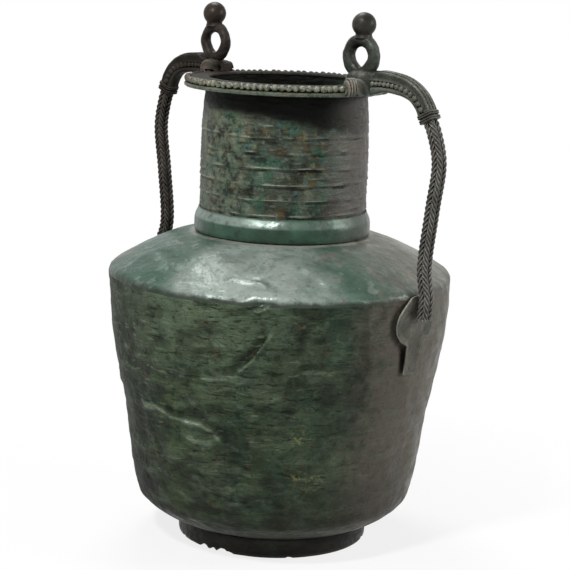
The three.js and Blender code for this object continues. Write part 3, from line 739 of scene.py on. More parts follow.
def shoulder_height(radius):
    """Height of the domed cone at a radius, in mm."""
    t = (BELLY_R - radius) / CONE_WIDE
    return EDGE + GAP + CONE_RISE * t + CROWN * 4 * t * (1 - t)


WALL_LINE = smooth_line(WALL_POINTS + [[r, shoulder_height(r)] for r in range(144, 72, -12)]
                        + [[72.6, shoulder_height(72.6)]], 8)


def wall_radius(height):
    """Radius of the raised wall at a height below the shoulder's edge, in mm."""
    for (r0, z0), (r1, z1) in zip(WALL_LINE, WALL_LINE[1:]):
        if z0 <= height <= z1 and r1 > 100:
            return r0 + (r1 - r0) * (height - z0) / (z1 - z0)
    return BELLY_R


BOTTOM = [[0, 20.3], [30, 19.9], [56, 18.8], [74, 17.9], [82, 17.5]]
body = facing_out(spin(BOTTOM + evenly(WALL_LINE, 2.7), 324))
print("raised shell:", len(body.data.vertices), "points")

# %% Broad dents
push(body, [
    # azimuth, height, radius, depth, reach: the front, as the light shows it
    (-60, 214, 153, -4.0, 34), (-71, 236, 155, -2.0, 20), (-47, 196, 151, -2.6, 30),
    (-84, 150, 144, -2.4, 34), (-66, 96, 134, -2.2, 30), (-92, 100, 135, 1.6, 30),
    (-30, 226, 154, -2.2, 30), (-22, 110, 136, -2.6, 34), (-112, 196, 151, -1.8, 34),
    (-128, 120, 138, -2.0, 34), (8, 92, 134, -1.8, 30), (-45, 140, 142, 1.8, 34),
    # the shoulder's edge and top
    (-64, 250, 149, -2.6, 17), (-52, 247, 152, 1.2, 10), (-92, 248, 151, -1.3, 20),
    (-64, 262, 128, -1.8, 22), (-20, 249, 150, -1.6, 20), (30, 247, 152, -2.0, 26),
    (-36, 258, 136, 1.2, 18), (-110, 262, 130, -1.4, 26), (-135, 248, 152, 0.6, 22),
    # the sides and the back
    (66, 190, 151, -2.6, 36), (98, 128, 139, -2.4, 34), (128, 214, 153, -2.8, 30),
    (150, 110, 136, -2.0, 32), (82, 232, 155, -1.8, 24), (-164, 92, 134, -2.2, 32),
    (104, 256, 140, -1.8, 24), (62, 264, 124, -1.4, 26), (-160, 258, 136, -1.6, 24),
])

# %% Creases and wrinkles
CREASES = [
    # ridge, valley and width in mm, then (azimuth, height) along the fold
    (1.7, 1.2, 2.1, [(-52.8, 220.5), (-55.8, 208), (-59.2, 195), (-62.8, 186), (-65.1, 180)]),
    (0.6, 0.5, 2.4, [(-29.7, 185), (-37, 186), (-44.4, 185)]),
    (0.6, 0.5, 2.4, [(-62.8, 179), (-72, 176), (-80.6, 174)]),
    (0.8, 0.6, 2.2, [(-63.9, 113.2), (-69.8, 118.9), (-73.1, 128), (-77.2, 132), (-85.1, 133.2),
                     (-90.3, 133.4), (-96.4, 139.4), (-101.3, 141.3)]),
    (0.5, 0.4, 2.4, [(-76.8, 103.5), (-86.4, 104.8)]),
    (0.5, 0.4, 2.4, [(-98.7, 88), (-100, 99), (-101.2, 109.8)]),
    (0.5, 0.4, 2.4, [(-72.7, 68.9), (-78, 77), (-83.3, 83.2)]),
    (1.2, 0.9, 2.1, [(-53, 244), (-56, 240), (-59, 236)]),
    (0.6, 0.7, 3.4, [(-38, 232), (-41, 214), (-43, 196)]),
    (0.4, 0.5, 3.6, [(-20, 236), (-19.2, 200), (-19.1, 160), (-20, 128)]),
    (0.5, 0.5, 3.0, [(-26, 108), (-32.8, 95), (-45, 88)]),
    (0.7, 0.8, 3.4, [(70, 206), (84, 196), (96, 190)]),
    (0.8, 0.9, 3.6, [(118, 150), (130, 160), (146, 158)]),
]
FOLDS = [
    # the same on the shoulder, as (azimuth, radius)
    (1.2, 0.9, 2.1, [(-54.1, 143), (-57.2, 136.5), (-63.3, 135), (-68.3, 134.5), (-70.9, 141)]),
    (0.5, 0.5, 2.6, [(-42.9, 119), (-38, 130), (-33.8, 143)]),
    (0.6, 0.7, 4.0, [(-96, 140), (-104, 128), (-116, 124)]),
    (0.7, 0.7, 4.0, [(70, 136), (82, 124), (96, 122)]),
]
LINES = [(*sizes, [tuple(on_wall(wall_radius(z), azimuth, z) / MM) for azimuth, z in path])
         for *sizes, path in CREASES]
LINES += [(*sizes, [tuple(on_wall(r, azimuth, shoulder_height(r)) / MM) for azimuth, r in path])
          for *sizes, path in FOLDS]


def refine(obj, lines, reach):
    """Splits the faces within a reach in mm of the lines, so that a slanting fold stays smooth."""
    spots = places(obj)
    close = np.zeros(len(spots), dtype=bool)
    for *sizes, line in lines:
        close |= beside(spots, line)[0] < reach
    open_mesh(obj, "faces", lambda face: all(close[vertex.index] for vertex in face.verts))
    bpy.ops.mesh.subdivide(number_cuts=1)
    close_mesh()


def around(spots):
    """Azimuth of each spot in degrees."""
    return np.degrees(np.arctan2(spots[:, 1], spots[:, 0]))


# the first eight creases and the first two folds are sharp enough to need finer faces
refine(body, LINES[:8] + LINES[len(CREASES):len(CREASES) + 2], 11)
spots = places(body)
heights = np.zeros(len(spots))
for ridge, valley, width, line in LINES:
    heights += crease(spots, line, ridge, valley, width)
turn = around(spots)
reach = np.hypot(spots[:, 0], spots[:, 1])
# roughest on the front left of the belly and on the front of the shoulder, calm elsewhere
on_top = np.clip((spots[:, 2] - 247) / 6, 0, 1)
rough = ((0.35 + 0.9 * np.exp(-((turn + 84) / 42) ** 2)) * (1 - on_top)
         + (0.2 + 0.8 * np.exp(-((turn + 60) / 22) ** 2)) * on_top)
# smooth at the bottom, at the collar's seat and under the two foot plates
kept = np.clip((spots[:, 2] - 26) / 12, 0, 1) * np.clip((reach - 84) / 8, 0, 1)
for azimuth in (-2, 175):
    aside = (turn - azimuth + 180) % 360 - 180
    kept *= 1 - np.exp(-(aside / 12) ** 4) * np.clip((spots[:, 2] - 160) / 10, 0, 1)
heights = heights * 1.5 + (wrinkles(spots, 34, 10, 3) * 1.2 + wrinkles(spots, 14, 12, 2) * 0.7) * rough
displace(body, heights * kept)
keep_relief(body, heights * kept)
hammer(body, 1.2, 46)
print("creases:", len(CREASES) + len(FOLDS))

# %% Split at the edge, then give each sheet its wall
SPLIT = 241.5
open_mesh(body)
bpy.ops.mesh.bisect(plane_co=(0, 0, SPLIT * MM), plane_no=(0, 0, 1))
open_mesh(body, "faces", lambda face: face.calc_center_median().z > SPLIT * MM)
bpy.ops.mesh.separate(type="SELECTED")
close_mesh()
upper = next(o for o in bpy.context.selected_objects if o != body)
for sheet, *rest in ((body, "raised_belly", BELLY, "belly", "belly"),
                     (upper, "domed_shoulder", SHOULDER, "shoulder", "shoulder")):
    modify(sheet, "SOLIDIFY", thickness=WALL * MM, offset=-1)
    settle(sheet, *rest)

# %% [markdown]
# ## Foot ring
# A low band of sheet, chipped along the edge it stands on. The chips are painted heights
# that raise the lowest points a little.

# %% Foot ring
foot = spin([[83.6, 0], [85.6, 0], [86.1, 0.5], [86.4, 2], [86.6, 5], [86.9, 9], [87, 13],
             [87, 16.2], [86.6, 17], [84.4, 17], [84, 16.2], [84, 9], [83.4, 2], [83.3, 0.5],
             [83.6, 0]], 240)
spots = places(foot)
turn = around(spots)
rows = np.clip(1 - spots[:, 2] / 4.0, 0, 1)
chip = np.zeros(len(spots))
for azimuth, width, height in [(-95, 2.6, 3.0), (-88, 1.8, 2.2), (-81, 3.2, 3.4), (-76, 1.2, 1.6),
                               (-40, 1.4, 1.0), (-118, 1.5, 1.2), (24, 2.0, 1.4), (140, 2.4, 2.0),
                               (95, 1.6, 1.2)]:
    chip = np.maximum(chip, height * np.exp(-((turn - azimuth) / width) ** 4))
displace(foot, chip * rows, "Z")
hammer(foot, 0.35, 14)
for vertex in foot.data.vertices:
    vertex.co.z = max(vertex.co.z, 0)
settle(foot, "foot_band", FOOT, "foot", "foot_ring")

# %% [markdown]
# ## Neck
# A tube, slightly barrel-shaped, with six turned lines. On the real sheet they have become
# wavy and broken, so each line follows a slow wave and its height comes and goes. Noise in
# the mesh gives both.

# %% Neck
NECK_FOOT, NECK_WIDE, NECK_MOUTH = 74.2, 75.4, 71.6  # radii on the way up
NECK_MIDDLE = NECK_LOW + NECK_TALL * 0.43


def neck_radius(height):
    if height < NECK_MIDDLE:
        end, t = NECK_FOOT, (NECK_MIDDLE - height) / (NECK_MIDDLE - NECK_LOW)
    else:
        end, t = NECK_MOUTH, (height - NECK_MIDDLE) / (NECK_TOP - NECK_MIDDLE)
    return NECK_WIDE + (end - NECK_WIDE) * t * t


rows = [NECK_LOW + (NECK_TOP - NECK_LOW) * i / 110 for i in range(111)]
neck = facing_out(spin([[neck_radius(z), z] for z in rows], 300, closed=False))
push(neck, [(-120, 350, 75.3, -0.9, 30), (-52, 322, 75.2, -0.8, 26), (-20, 372, 74.6, -0.8, 24),
            (10, 330, 75.3, -0.9, 28), (-85, 384, 74, -0.7, 22), (110, 345, 75.3, -1.0, 30),
            (-160, 320, 75.2, -0.9, 28), (60, 380, 74, -0.8, 24)])

# %% Wavy turned lines of the neck
spots = places(neck)
turn = np.arctan2(spots[:, 1], spots[:, 0])


def uneven(angle, row, size, spread):
    """A smooth random value along the circumference, one row of it per line."""
    return np.array([noise.noise(Vector((math.cos(a) * size, math.sin(a) * size, row * spread)))
                     for a in angle])


heights = np.zeros(len(spots))
for i in range(6):
    # the six raised lines, each with a shallow furrow under it
    z = NECK_LOW + 23.0 + 13.6 * i
    close = np.abs(spots[:, 2] - z) < 8
    wave = 0.9 * uneven(turn[close], i, 2.6, 3.1)
    strength = np.clip(0.7 + 1.0 * uneven(turn[close], i + 9, 6.5, 5.3), 0.45, 1.1)
    away = spots[close, 2] - z - wave
    heights[close] += strength * (0.55 * np.exp(-(away / 0.9) ** 2)
                                  - 0.5 * np.exp(-((away + 2.0) / 1.1) ** 2))
for i in range(16):
    # finer lines that come and go between them
    z = NECK_LOW + 20 + i * 7.4
    close = np.abs(spots[:, 2] - z) < 6
    wave = 2.4 * uneven(turn[close], i + 20, 3.2, 2.7)
    strength = np.clip(2.2 * uneven(turn[close], i + 40, 5.5, 4.1), 0, 1)
    away = spots[close, 2] - z - wave
    heights[close] += 0.45 * strength * (np.exp(-(away / 0.9) ** 2) - np.exp(-((away + 2) / 1.2) ** 2))
heights += 0.3 * wrinkles(spots, 16, 6)
displace(neck, heights)
keep_relief(neck, heights)
hammer(neck, 0.9, 30)
hammer(neck, 0.4, 8)
modify(neck, "SOLIDIFY", thickness=WALL * MM, offset=-1)
settle(neck, "turned_neck", NECK, "neck", "neck")

# %% [markdown]
# ## Collar and rim
# The collar is a thick band bent in at the top, where it closes on the neck. The rim has a
# flat lip, a plain outer band below, and a beaded wire lying between them. A bead is
# modelled once and copied round the rim, each a little different, as a hand made them.

# %% Collar
collar = spin(smooth_line([[79.0, 281.9], [79.35, 284.5], [79.4, 289], [79.2, 293], [78.3, 296.3],
                           [76.9, 299.4], [76.1, 301.2], [75.9, 302.4]], 4)
              + [[75.2, 302.4], [75.1, 292], [75.1, 283.8], [76.5, 283.0], [79.0, 281.9]], 240)
push(collar, [(-60, 297, 78, -0.5, 14), (-100, 297, 78, 0.3, 14), (-25, 297, 78, -0.5, 16),
              (80, 297, 78, -0.5, 16), (160, 297, 78, -0.4, 16)])
hammer(collar, 0.35, 22)
settle(collar, "neck_band", COLLAR, "collar", "neck_collar")

# %% Rim lip and band
rim = spin([[69.7, 417.6], [69.6, 416.6], [70.2, 416.0], [83.2, 416.0], [83.6, 415.4],
            [83.6, 410.4], [84.2, 409.8], [87, 409.7], [90.4, 409.8], [91.4, 410.5], [91.6, 411.6],
            [91.5, 412.6], [90.8, 413.2], [86.8, 413.3], [85.8, 413.8], [85.6, 416], [85.4, 417.8],
            [84.6, 418.4], [78, 418.2], [73, 418.4], [70.6, 418.5], [69.7, 417.6]], 260)
hammer(rim, 0.45, 16)
settle(rim, "lip_and_band", RIM, "rim", "rim_flange")


# %% Copies
def copies(source, spots):
    """One object of many copies of a small one, each with its own mesh, placed by a matrix."""
    made = []
    for spot in spots:
        copy = source.copy()
        copy.data = source.data.copy()
        copy.matrix_world = spot
        scene.collection.objects.link(copy)
        made.append(copy)
    bpy.data.objects.remove(source)
    joined = join(*made)
    bpy.ops.object.transform_apply()
    return joined


def sized(x, y, z):
    """Scales by sizes in mm."""
    return Matrix.Diagonal((x * MM, y * MM, z * MM, 1))


def bead():
    """A slightly squared ball of 1 m radius: a sphere whose sides are pressed flatter."""
    only()
    bpy.ops.mesh.primitive_uv_sphere_add(segments=12, ring_count=8, radius=1)
    open_mesh(bpy.context.object, "verts", lambda vertex: abs(vertex.co.z) < 0.75)
    bpy.ops.transform.resize(value=(1.08, 1.08, 1.12))
    return close_mesh()


# %% Beaded wire
BEADS = 94
BEAD_R, BEAD_Z = 88.7, 416.6  # middle of the wire
random.seed(7)
spots = []
for i in range(BEADS):
    turn = Matrix.Rotation(2 * math.pi * (i + random.uniform(-0.1, 0.1)) / BEADS, 4, "Z")
    out = Matrix.Translation(Vector((BEAD_R + random.uniform(-0.3, 0.15), 0,
                                     BEAD_Z + random.uniform(-0.3, 0.2))) * MM)
    slant = Matrix.Rotation(math.radians(18 + random.uniform(-7, 7)), 4, "X")
    size = sized(2.6, 2.6 + random.uniform(-0.3, 0.15), 2.95 + random.uniform(-0.35, 0.05))
    spots.append(turn @ out @ slant @ size)
wire = copies(bead(), spots)
# a thin ring through the beads makes them one piece
core = spin([[89.7, 416.6], [89.4, 417.4], [88.7, 417.8], [88, 417.4], [87.7, 416.6], [88, 415.8],
             [88.7, 415.4], [89.4, 415.8], [89.7, 416.6]], 180)
settle(join(wire, core), "beaded_wire", RIM, "rim", "rim_bead_wire")

# %% [markdown]
# ## Handles
# Each handle is worked out in its own upright plane, with X as the reach from the axis, and
# then turned to its place. Both have the same parts with slightly different reaches,
# because they were bent by hand. A loft makes the long parts: a circle is the first
# section, and each next section is extruded from the last and pulled to its own points.

# %% Sizes of the two handles, in mm and degrees
RIGHT = SimpleNamespace(
    side="right", azimuth=0, near=-1, plate_turn=-2.0, arm=ARM_RIGHT, rod=ROD, loop=LOOP,
    ball=BALL, fork_turn=0, fork_reach=15, root_r=69.5, root_h=12.3, lean=27, loop_r=81.5,
    loop_rod=5.4, loop_foot=1.7, eye_w=16.4, eye_h=18.0, ball_lean=1.5, cuff_out=-2.5,
    bulge_out=12.1, middle_out=7.5, waist_out=3.4, foot_aside=-3.2)
LEFT = SimpleNamespace(
    side="left", azimuth=175, near=1, plate_turn=0, arm=ARM_LEFT, rod=ROD_LEFT, loop=LOOP_LEFT,
    ball=BALL_LEFT, fork_turn=-1.5, fork_reach=7, root_r=79.5, root_h=8.5, lean=21, loop_r=93.5,
    loop_rod=4.6, loop_foot=6.4, eye_w=17.8, eye_h=18.4, ball_lean=2.4, cuff_out=-0.1,
    bulge_out=10.7, middle_out=4.5, waist_out=-0.5, foot_aside=0.0)
HANDLES = (RIGHT, LEFT)


# %% Loft
def loft(rings):
    """Skins rings of equally many points in mm into one closed bar."""
    only()
    bpy.ops.mesh.primitive_circle_add(vertices=len(rings[0]), radius=0.01, fill_type="NGON")
    obj = bpy.context.object
    rings = [[Vector(point) * MM for point in ring] for ring in rings]
    for vertex, point in zip(obj.data.vertices, rings[0]):
        vertex.co = point
    open_mesh(obj)
    for before, after in zip(rings, rings[1:]):
        bpy.ops.mesh.extrude_region_move()
        goes = {tuple(a): b for a, b in zip(before, after)}
        mesh = bmesh.from_edit_mesh(obj.data)
        for vertex in mesh.verts:
            if vertex.select:
                vertex.co = goes[tuple(vertex.co)]
        bmesh.update_edit_mesh(obj.data)
    bpy.ops.mesh.select_all(action="SELECT")
    bpy.ops.mesh.normals_make_consistent(inside=False)
    return close_mesh()


def swing(obj, h):
    """Turns a part of a handle from its own plane to its place round the jar."""
    only(obj)
    bpy.ops.object.transform_apply()
    obj.rotation_euler.z = math.radians(h.azimuth)
    return obj


# %% [markdown]
# ## Arms
# The arm rises from the rim and bends over and down. Its section is narrow inside, has a
# groove for the pearls in each flank, and ribs along its back that deepen towards the cuff.
# The rim's own space is cut out of its root, and two ribbed knots bind it to the rim.

# %% Line and section of an arm
def smoothstep(x, low, high):
    t = min(max((x - low) / (high - low), 0), 1)
    return t * t * (3 - 2 * t)


def mix(a, b, t):
    return a + (b - a) * t


def evenly_in_space(points, count):
    """The same line through space with so many points, equally far apart."""
    lengths = [0.0]
    for a, b in zip(points, points[1:]):
        lengths.append(lengths[-1] + (b - a).length)
    out, i = [], 0
    for k in range(count):
        far = lengths[-1] * k / (count - 1)
        while i < len(points) - 2 and lengths[i + 1] < far:
            i += 1
        t = (far - lengths[i]) / (lengths[i + 1] - lengths[i])
        out.append(points[i].lerp(points[i + 1], t))
    return out


def frames_along(line):
    """(place, direction, outward direction) at each point of a line in the handle's plane."""
    out = []
    for i, at in enumerate(line):
        along = (line[min(i + 1, len(line) - 1)] - line[max(i - 1, 0)]).normalized()
        out.append((at, along, Vector((-along.z, 0, along.x))))
    return out


def length_of(line):
    return sum((b - a).length for a, b in zip(line, line[1:]))


CUFF_TALL, CUFF_WIDE = 7.6, 6.5  # half the arm's height and width where the cuff sits
CUFF_DROP = 18.5  # from the rim's top down to the cuff
CUFF_PULL = 22  # how far the bend feels the slant of the cuff


def arm_line(h, count):
    """Middle line of an arm: a Bezier curve from its root out to the slanting cuff."""
    lean = math.radians(h.lean)
    end = Vector((BELLY_R + h.cuff_out, 0, RIM_TOP - CUFF_DROP))
    start = Vector((h.root_r, 0, RIM_TOP + 2.5))
    pull = start + Vector(((end.x - start.x) * 0.72, 0, 4))
    push_up = end + Vector((-math.sin(lean) * CUFF_PULL, 0, math.cos(lean) * CUFF_PULL))
    points = []
    for i in range(401):
        t = i / 400
        points.append(start * (1 - t) ** 3 + pull * 3 * t * (1 - t) ** 2
                      + push_up * 3 * t * t * (1 - t) + end * t ** 3)
    return evenly_in_space(points, count)


def loop_edge(h):
    """Reach of the loop's outer side where it meets the arm."""
    a = h.eye_w / 2 + h.loop_rod * 2
    b = h.eye_h / 2 + h.loop_rod * 2
    return h.loop_r + GAP + a * math.sqrt(1 - ((h.eye_h / 2 + h.loop_foot) / b) ** 2)


def arm_size(h, at):
    """Height above and below the arm's line and half its width, in mm."""
    edge = RIM_R + GAP
    seat = RIM_TOP + h.root_h - at.z
    crest = smoothstep(at.x, loop_edge(h), loop_edge(h) + 10)
    slim = smoothstep(at.x, h.loop_r + 16, BELLY_R + h.cuff_out - 6)
    up = mix(seat + (13.6 - h.root_h) * crest, CUFF_TALL, slim)
    down = mix(9.3 + 3.5 * (1 - smoothstep(at.x, edge, edge + 18)), CUFF_TALL, slim)
    flare = 6.0 * (1 - smoothstep(at.x, edge - 4, edge + 9))
    inner = -7.0 * (1 - smoothstep(at.x, h.root_r + 2, edge - 7))
    up *= 0.5 + 0.5 * smoothstep(at.x, h.root_r - 3, h.root_r + 11)
    return up, down, CUFF_WIDE + flare + inner


HALF_SECTION = [
    # across, up, how much the pearl groove takes from the side, how much a back groove takes
    (0.40, -1.00, 0, 0), (0.66, -0.96, 0, 0), (0.84, -0.86, 0, 0), (0.93, -0.72, 0, 0),
    (0.95, -0.53, 0.00, 0), (0.94, -0.46, 0.24, 0), (0.94, -0.36, 0.42, 0), (0.94, -0.06, 0.42, 0),
    (0.96, 0.03, 0.30, 0), (0.99, 0.10, 0.03, 0), (1.00, 0.28, 0, 0), (1.00, 0.50, 0, 0),
    (0.96, 0.68, 0, 0), (0.89, 0.82, 0, 0), (0.80, 0.90, 0, 0.00), (0.72, 0.94, 0, 0.16),
    (0.62, 0.96, 0, 0.30), (0.52, 0.98, 0, 0.20), (0.43, 0.99, 0, 0.00), (0.28, 1.00, 0, 0.00),
    (0.19, 1.00, 0, 0.10), (0.07, 1.00, 0, 0.26),
]


def arm_ring(h, frame_here):
    """The arm's section at one place, with its grooves and ribs fading in."""
    at, _, out = frame_here
    up, down, half = arm_size(h, at)
    groove = smoothstep(at.x, RIM_R + 1, RIM_R + 12)
    ribs = 0.1 + 0.95 * smoothstep(at.x, loop_edge(h) + 2, loop_edge(h) + 30)
    side = []
    for across, rise, pearl, rib in HALF_SECTION:
        y = (across - pearl * groove) * half
        n = rise * (up if rise > 0 else down) - rib * ribs * 9
        side.append((y, n))
    ring = side + [(-y, n) for y, n in reversed(side)]
    return [at + out * n + Vector((0, y, 0)) for y, n in ring]


# %% Knots that bind the arm to the rim
KNOT_R, KNOT_Z = RIM_R + 0.6, RIM_TOP - 1.7  # middle of the knots, just over the rim's edge


def along_rim(h, degrees, span, count, shape):
    """Skins rings along the rim's edge; shape(share, angle) gives a point across the ring."""
    rings = []
    for i in range(count):
        share = i / (count - 1)
        a = math.radians(degrees - span / 2 + span * share + h.fork_turn)
        ring = []
        for k in range(20):
            across, up = shape(share, math.radians(18 * k))
            r = KNOT_R + across
            ring.append((math.cos(a) * r, math.sin(a) * r, KNOT_Z + up))
        rings.append(ring)
    return loft(rings)


def knot(h, degrees, span=6.6, ribs=4, wide=5.9, tall=8.3, raised=0.0):
    """A short ribbed coil lying along the rim's edge, in the handle's plane."""
    def shape(share, b):
        rounded = min(1, 4.5 * min(share, 1 - share)) ** 0.5 * 0.45 + 0.55
        rib = 0.7 + 0.3 * abs(math.sin(math.pi * ribs * share + b)) ** 0.8
        return math.cos(b) * wide * rounded * rib, math.sin(b) * tall * rounded * rib + raised
    return along_rim(h, degrees, span, 8 * ribs + 1, shape)


def fork_bar(h):
    """The twisted bar behind the knots, along the rim's edge."""
    def shape(share, b):
        near_arm = 1 - abs(2 * share - 1)
        twist = 1 + 0.13 * (1 - near_arm) * math.cos(3 * b + share * 26)
        return (math.cos(b) * (4.6 + 1.9 * near_arm) * twist,
                math.sin(b) * (6.4 + 2.4 * near_arm) * twist)
    return along_rim(h, 0, 2 * h.fork_reach - 4, 41, shape)


# %% Arms
def cut(obj, tool):
    """Takes the tool's space out of an object, and removes the tool."""
    modify(obj, "BOOLEAN", operation="DIFFERENCE", solver="EXACT", object=tool)
    bpy.data.objects.remove(tool)


def rim_space():
    """The room that the rim, its beads and the neck take, with a small gap."""
    return spin([[30, 418.8], [30, 350], [91.9, 350], [91.9, 420.3], [85.0, 420.3], [85.0, 418.8],
                 [30, 418.8]], 240)


for h in HANDLES:
    arm = loft([arm_ring(h, f) for f in frames_along(arm_line(h, 84))])
    parts = [arm, fork_bar(h), knot(h, -h.fork_reach), knot(h, h.fork_reach)]
    if h is LEFT:
        # on this side a third, wider knot lies over the arm's inner end
        parts.append(knot(h, 3, span=17, ribs=6, wide=8.4, tall=8.0, raised=3.5))
    for part in parts:
        cut(part, rim_space())
        if part != arm:
            join(arm, part)
    hammer(arm, 0.7, 9)
    swing(arm, h)
    settle(arm, f"{h.side}_cast_arm", h.arm, "arm", f"{h.side}_arm", angle=50)

# %% [markdown]
# ## Pearl wires and cuffs
# A row of pearls lies in the groove of each flank and grows towards the cuff. One pearl is
# modelled and copied along the groove, a little tilted. The cuff is a short sleeve with
# two double ridges.

# %% Pearls
PEARL_LOW = 0.17  # share of the arm's lower half that the row lies under its line
PEARL_END = 3.2  # from the cuff to the middle of the first pearl

for h in HANDLES:
    fine_line = arm_line(h, 400)
    length = length_of(fine_line)
    frames = frames_along(fine_line)
    for name, hand in (("front", h.near), ("back", -h.near)):
        random.seed(11)
        spots, far = [], length - PEARL_END
        while True:
            at, along, out = frames[min(int(far / length * 399), 399)]
            if at.x < RIM_R + 6:
                break
            _, down, half = arm_size(h, at)
            grow = smoothstep(at.x, RIM_R + 10, BELLY_R - 8)
            size = mix(1.9, 2.7, grow)
            across = half * 0.5 + 0.2 + size * 0.85
            place = at - out * PEARL_LOW * down + Vector((0, hand * across, 0))
            turn = Matrix((along * hand, (0, hand, 0), out)).transposed().to_4x4()
            tilt = Matrix.Rotation(math.radians(24 * hand + random.uniform(-8, 8)), 4, "Y")
            shape = sized(size * random.uniform(0.82, 0.94), size * 0.9,
                          size * random.uniform(1.02, 1.2))
            spots.append(Matrix.Translation(place * MM) @ turn @ tilt @ shape)
            far -= 2.12 * size
        row = copies(bead(), spots)
        # a thin wire behind the pearls makes them one row
        rings = []
        for at, _, out in frames[::12]:
            if at.x > RIM_R + 8:
                _, down, half = arm_size(h, at)
                middle = at - out * PEARL_LOW * down + Vector((0, hand * (half * 0.5 + 1.7), 0))
                rings.append([middle + out * math.cos(k) * 1.1 + Vector((0, math.sin(k) * 1.1, 0))
                              for k in (math.pi * i / 4 for i in range(8))])
        row = swing(join(row, loft(rings)), h)
        settle(row, f"{h.side}_pearl_row_{name}", h.arm, "arm", f"{h.side}_pearls_{name}")

# %% Cuffs
CUFF_PROFILE = [
    # distance along the cuff and how far it stands proud, in mm
    (0, 0), (0.25, 0.5), (0.9, 1.0), (1.5, 0.85), (1.9, 0.4), (2.3, 0.85), (2.9, 1.0), (3.5, 0.5),
    (3.9, -0.3), (4.3, -0.3), (4.7, 0.5), (5.3, 1.0), (6.0, 0.8), (6.4, 0.4), (6.8, 0.8),
    (7.4, 0.9), (7.8, 0.4), (8.0, -0.4),
]
for h in HANDLES:
    at, along, out = frames_along(arm_line(h, 84))[-1]
    rings = []
    for d, proud in CUFF_PROFILE:
        ring = []
        for k in range(36):
            a = math.radians(10 * k + 5)
            c, s = math.cos(a), math.sin(a)
            square = 1 / (abs(c) ** 4 + abs(s) ** 4) ** 0.25
            n = c * square * (CUFF_TALL + proud)
            y = s * square * (CUFF_WIDE + proud)
            ring.append(at + out * n + Vector((0, y, 0)) + along * (GAP + d))
        rings.append(ring)
    cuff = swing(loft(rings), h)
    hammer(cuff, 0.5, 5)
    settle(cuff, f"{h.side}_ridged_cuff", h.arm, "rod", f"{h.side}_cuff")

# %% [markdown]
# ## Twisted rods
# Below the cuff four square rods run side by side, each twisted about its own line.
# Neighbours twist opposite ways, so their edges meet in chevrons like a braid. The line is
# a smooth curve through a few places: out of the cuff, round the bulge, in at the waist and
# flat against the foot plate.

# %% Line of the rods
ROD_CORNER = 2.65  # from a rod's line to its corner
ROD_ASIDE = 2.8  # from the middle of the four to each rod's line
BUNDLE = 5.45  # the two together
TWIST = 19.2  # length of one turn
SQUARE = ((0.9, -0.24), (1.0, 0), (0.9, 0.24), (0.6, math.pi / 4))  # reach and angle of points


def rod_line(h, count):
    """The line of the four rods together, from the cuff to the foot plate."""
    at, along, out = frames_along(arm_line(h, 400))[-1]
    top = at + along * 8.6
    edge_seat = BELLY_R + GAP + PLATE_THICK + GAP + BUNDLE
    foot_z = EDGE - 21
    seat = wall_radius(foot_z) + GAP + PLATE_THICK + GAP + BUNDLE + 1.0
    points = [
        top,
        top + along * 8,  # straight out of the cuff
        Vector((BELLY_R + h.bulge_out, 0, RIM_TOP - 59)),
        Vector((BELLY_R + h.middle_out, 0, RIM_TOP - 102)),
        Vector((BELLY_R + h.waist_out, h.foot_aside * 0.4, EDGE + 22)),
        Vector((edge_seat + 0.4, h.foot_aside * 0.8, EDGE - 3)),  # past the shoulder's edge
        Vector((seat, h.foot_aside, foot_z)),  # on the plate
    ]
    # a centripetal spline, which neither loops nor overshoots between uneven distances
    ends = [points[0] * 2 - points[1]] + points + [points[-1] * 2 - points[-2]]
    out_line = []
    for i in range(1, len(ends) - 2):
        p0, p1, p2, p3 = ends[i - 1:i + 3]
        d0, d1, d2 = [(b - a).length ** 0.5 for a, b in ((p0, p1), (p1, p2), (p2, p3))]
        m1 = ((p1 - p0) / d0 - (p2 - p0) / (d0 + d1) + (p2 - p1) / d1) * d1
        m2 = ((p2 - p1) / d1 - (p3 - p1) / (d1 + d2) + (p3 - p2) / d2) * d1
        for k in range(60):
            t = k / 60
            out_line.append(p1 * (2 * t ** 3 - 3 * t ** 2 + 1) + m1 * (t ** 3 - 2 * t ** 2 + t)
                            + p2 * (3 * t ** 2 - 2 * t ** 3) + m2 * (t ** 3 - t ** 2))
    out_line.append(points[-1])
    return evenly_in_space(out_line, count)


# %% Rods
def twisted_rod(h, side, row):
    """One of the four: side and row are 1 or -1, and neighbours twist opposite ways."""
    line = rod_line(h, 190)
    length = length_of(line)
    rings = []
    for i, (at, along, out) in enumerate(frames_along(line)):
        turn = -side * row * i / (len(line) - 1) * length / TWIST * 2 * math.pi
        ring = []
        for k in range(4):
            for reach, offset in SQUARE:
                a = turn + k * math.pi / 2 + offset
                n = side * ROD_ASIDE + math.cos(a) * ROD_CORNER * reach
                y = row * ROD_ASIDE + math.sin(a) * ROD_CORNER * reach
                ring.append(at + out * n + Vector((0, y, 0)))
        rings.append(ring)
    return loft(rings)


for h in HANDLES:
    for side, depth in ((1, "outer"), (-1, "inner")):
        for row, name in ((-1, "front"), (1, "back")):
            settle(swing(twisted_rod(h, side, row), h), f"{h.side}_twisted_rod_{depth}_{name}",
                   h.rod, "rod", f"{h.side}_rod_{depth}_{name}", angle=60)

# %% [markdown]
# ## Loops and balls
# A loop of round bar stands on each arm's root, bent to a slightly uneven ring. The ball on
# top has a thick short neck, hollowed so that it sits astride the loop.

# %% Loops
def loop_middle(h):
    return RIM_TOP + h.root_h + GAP + h.loop_foot + h.eye_h / 2


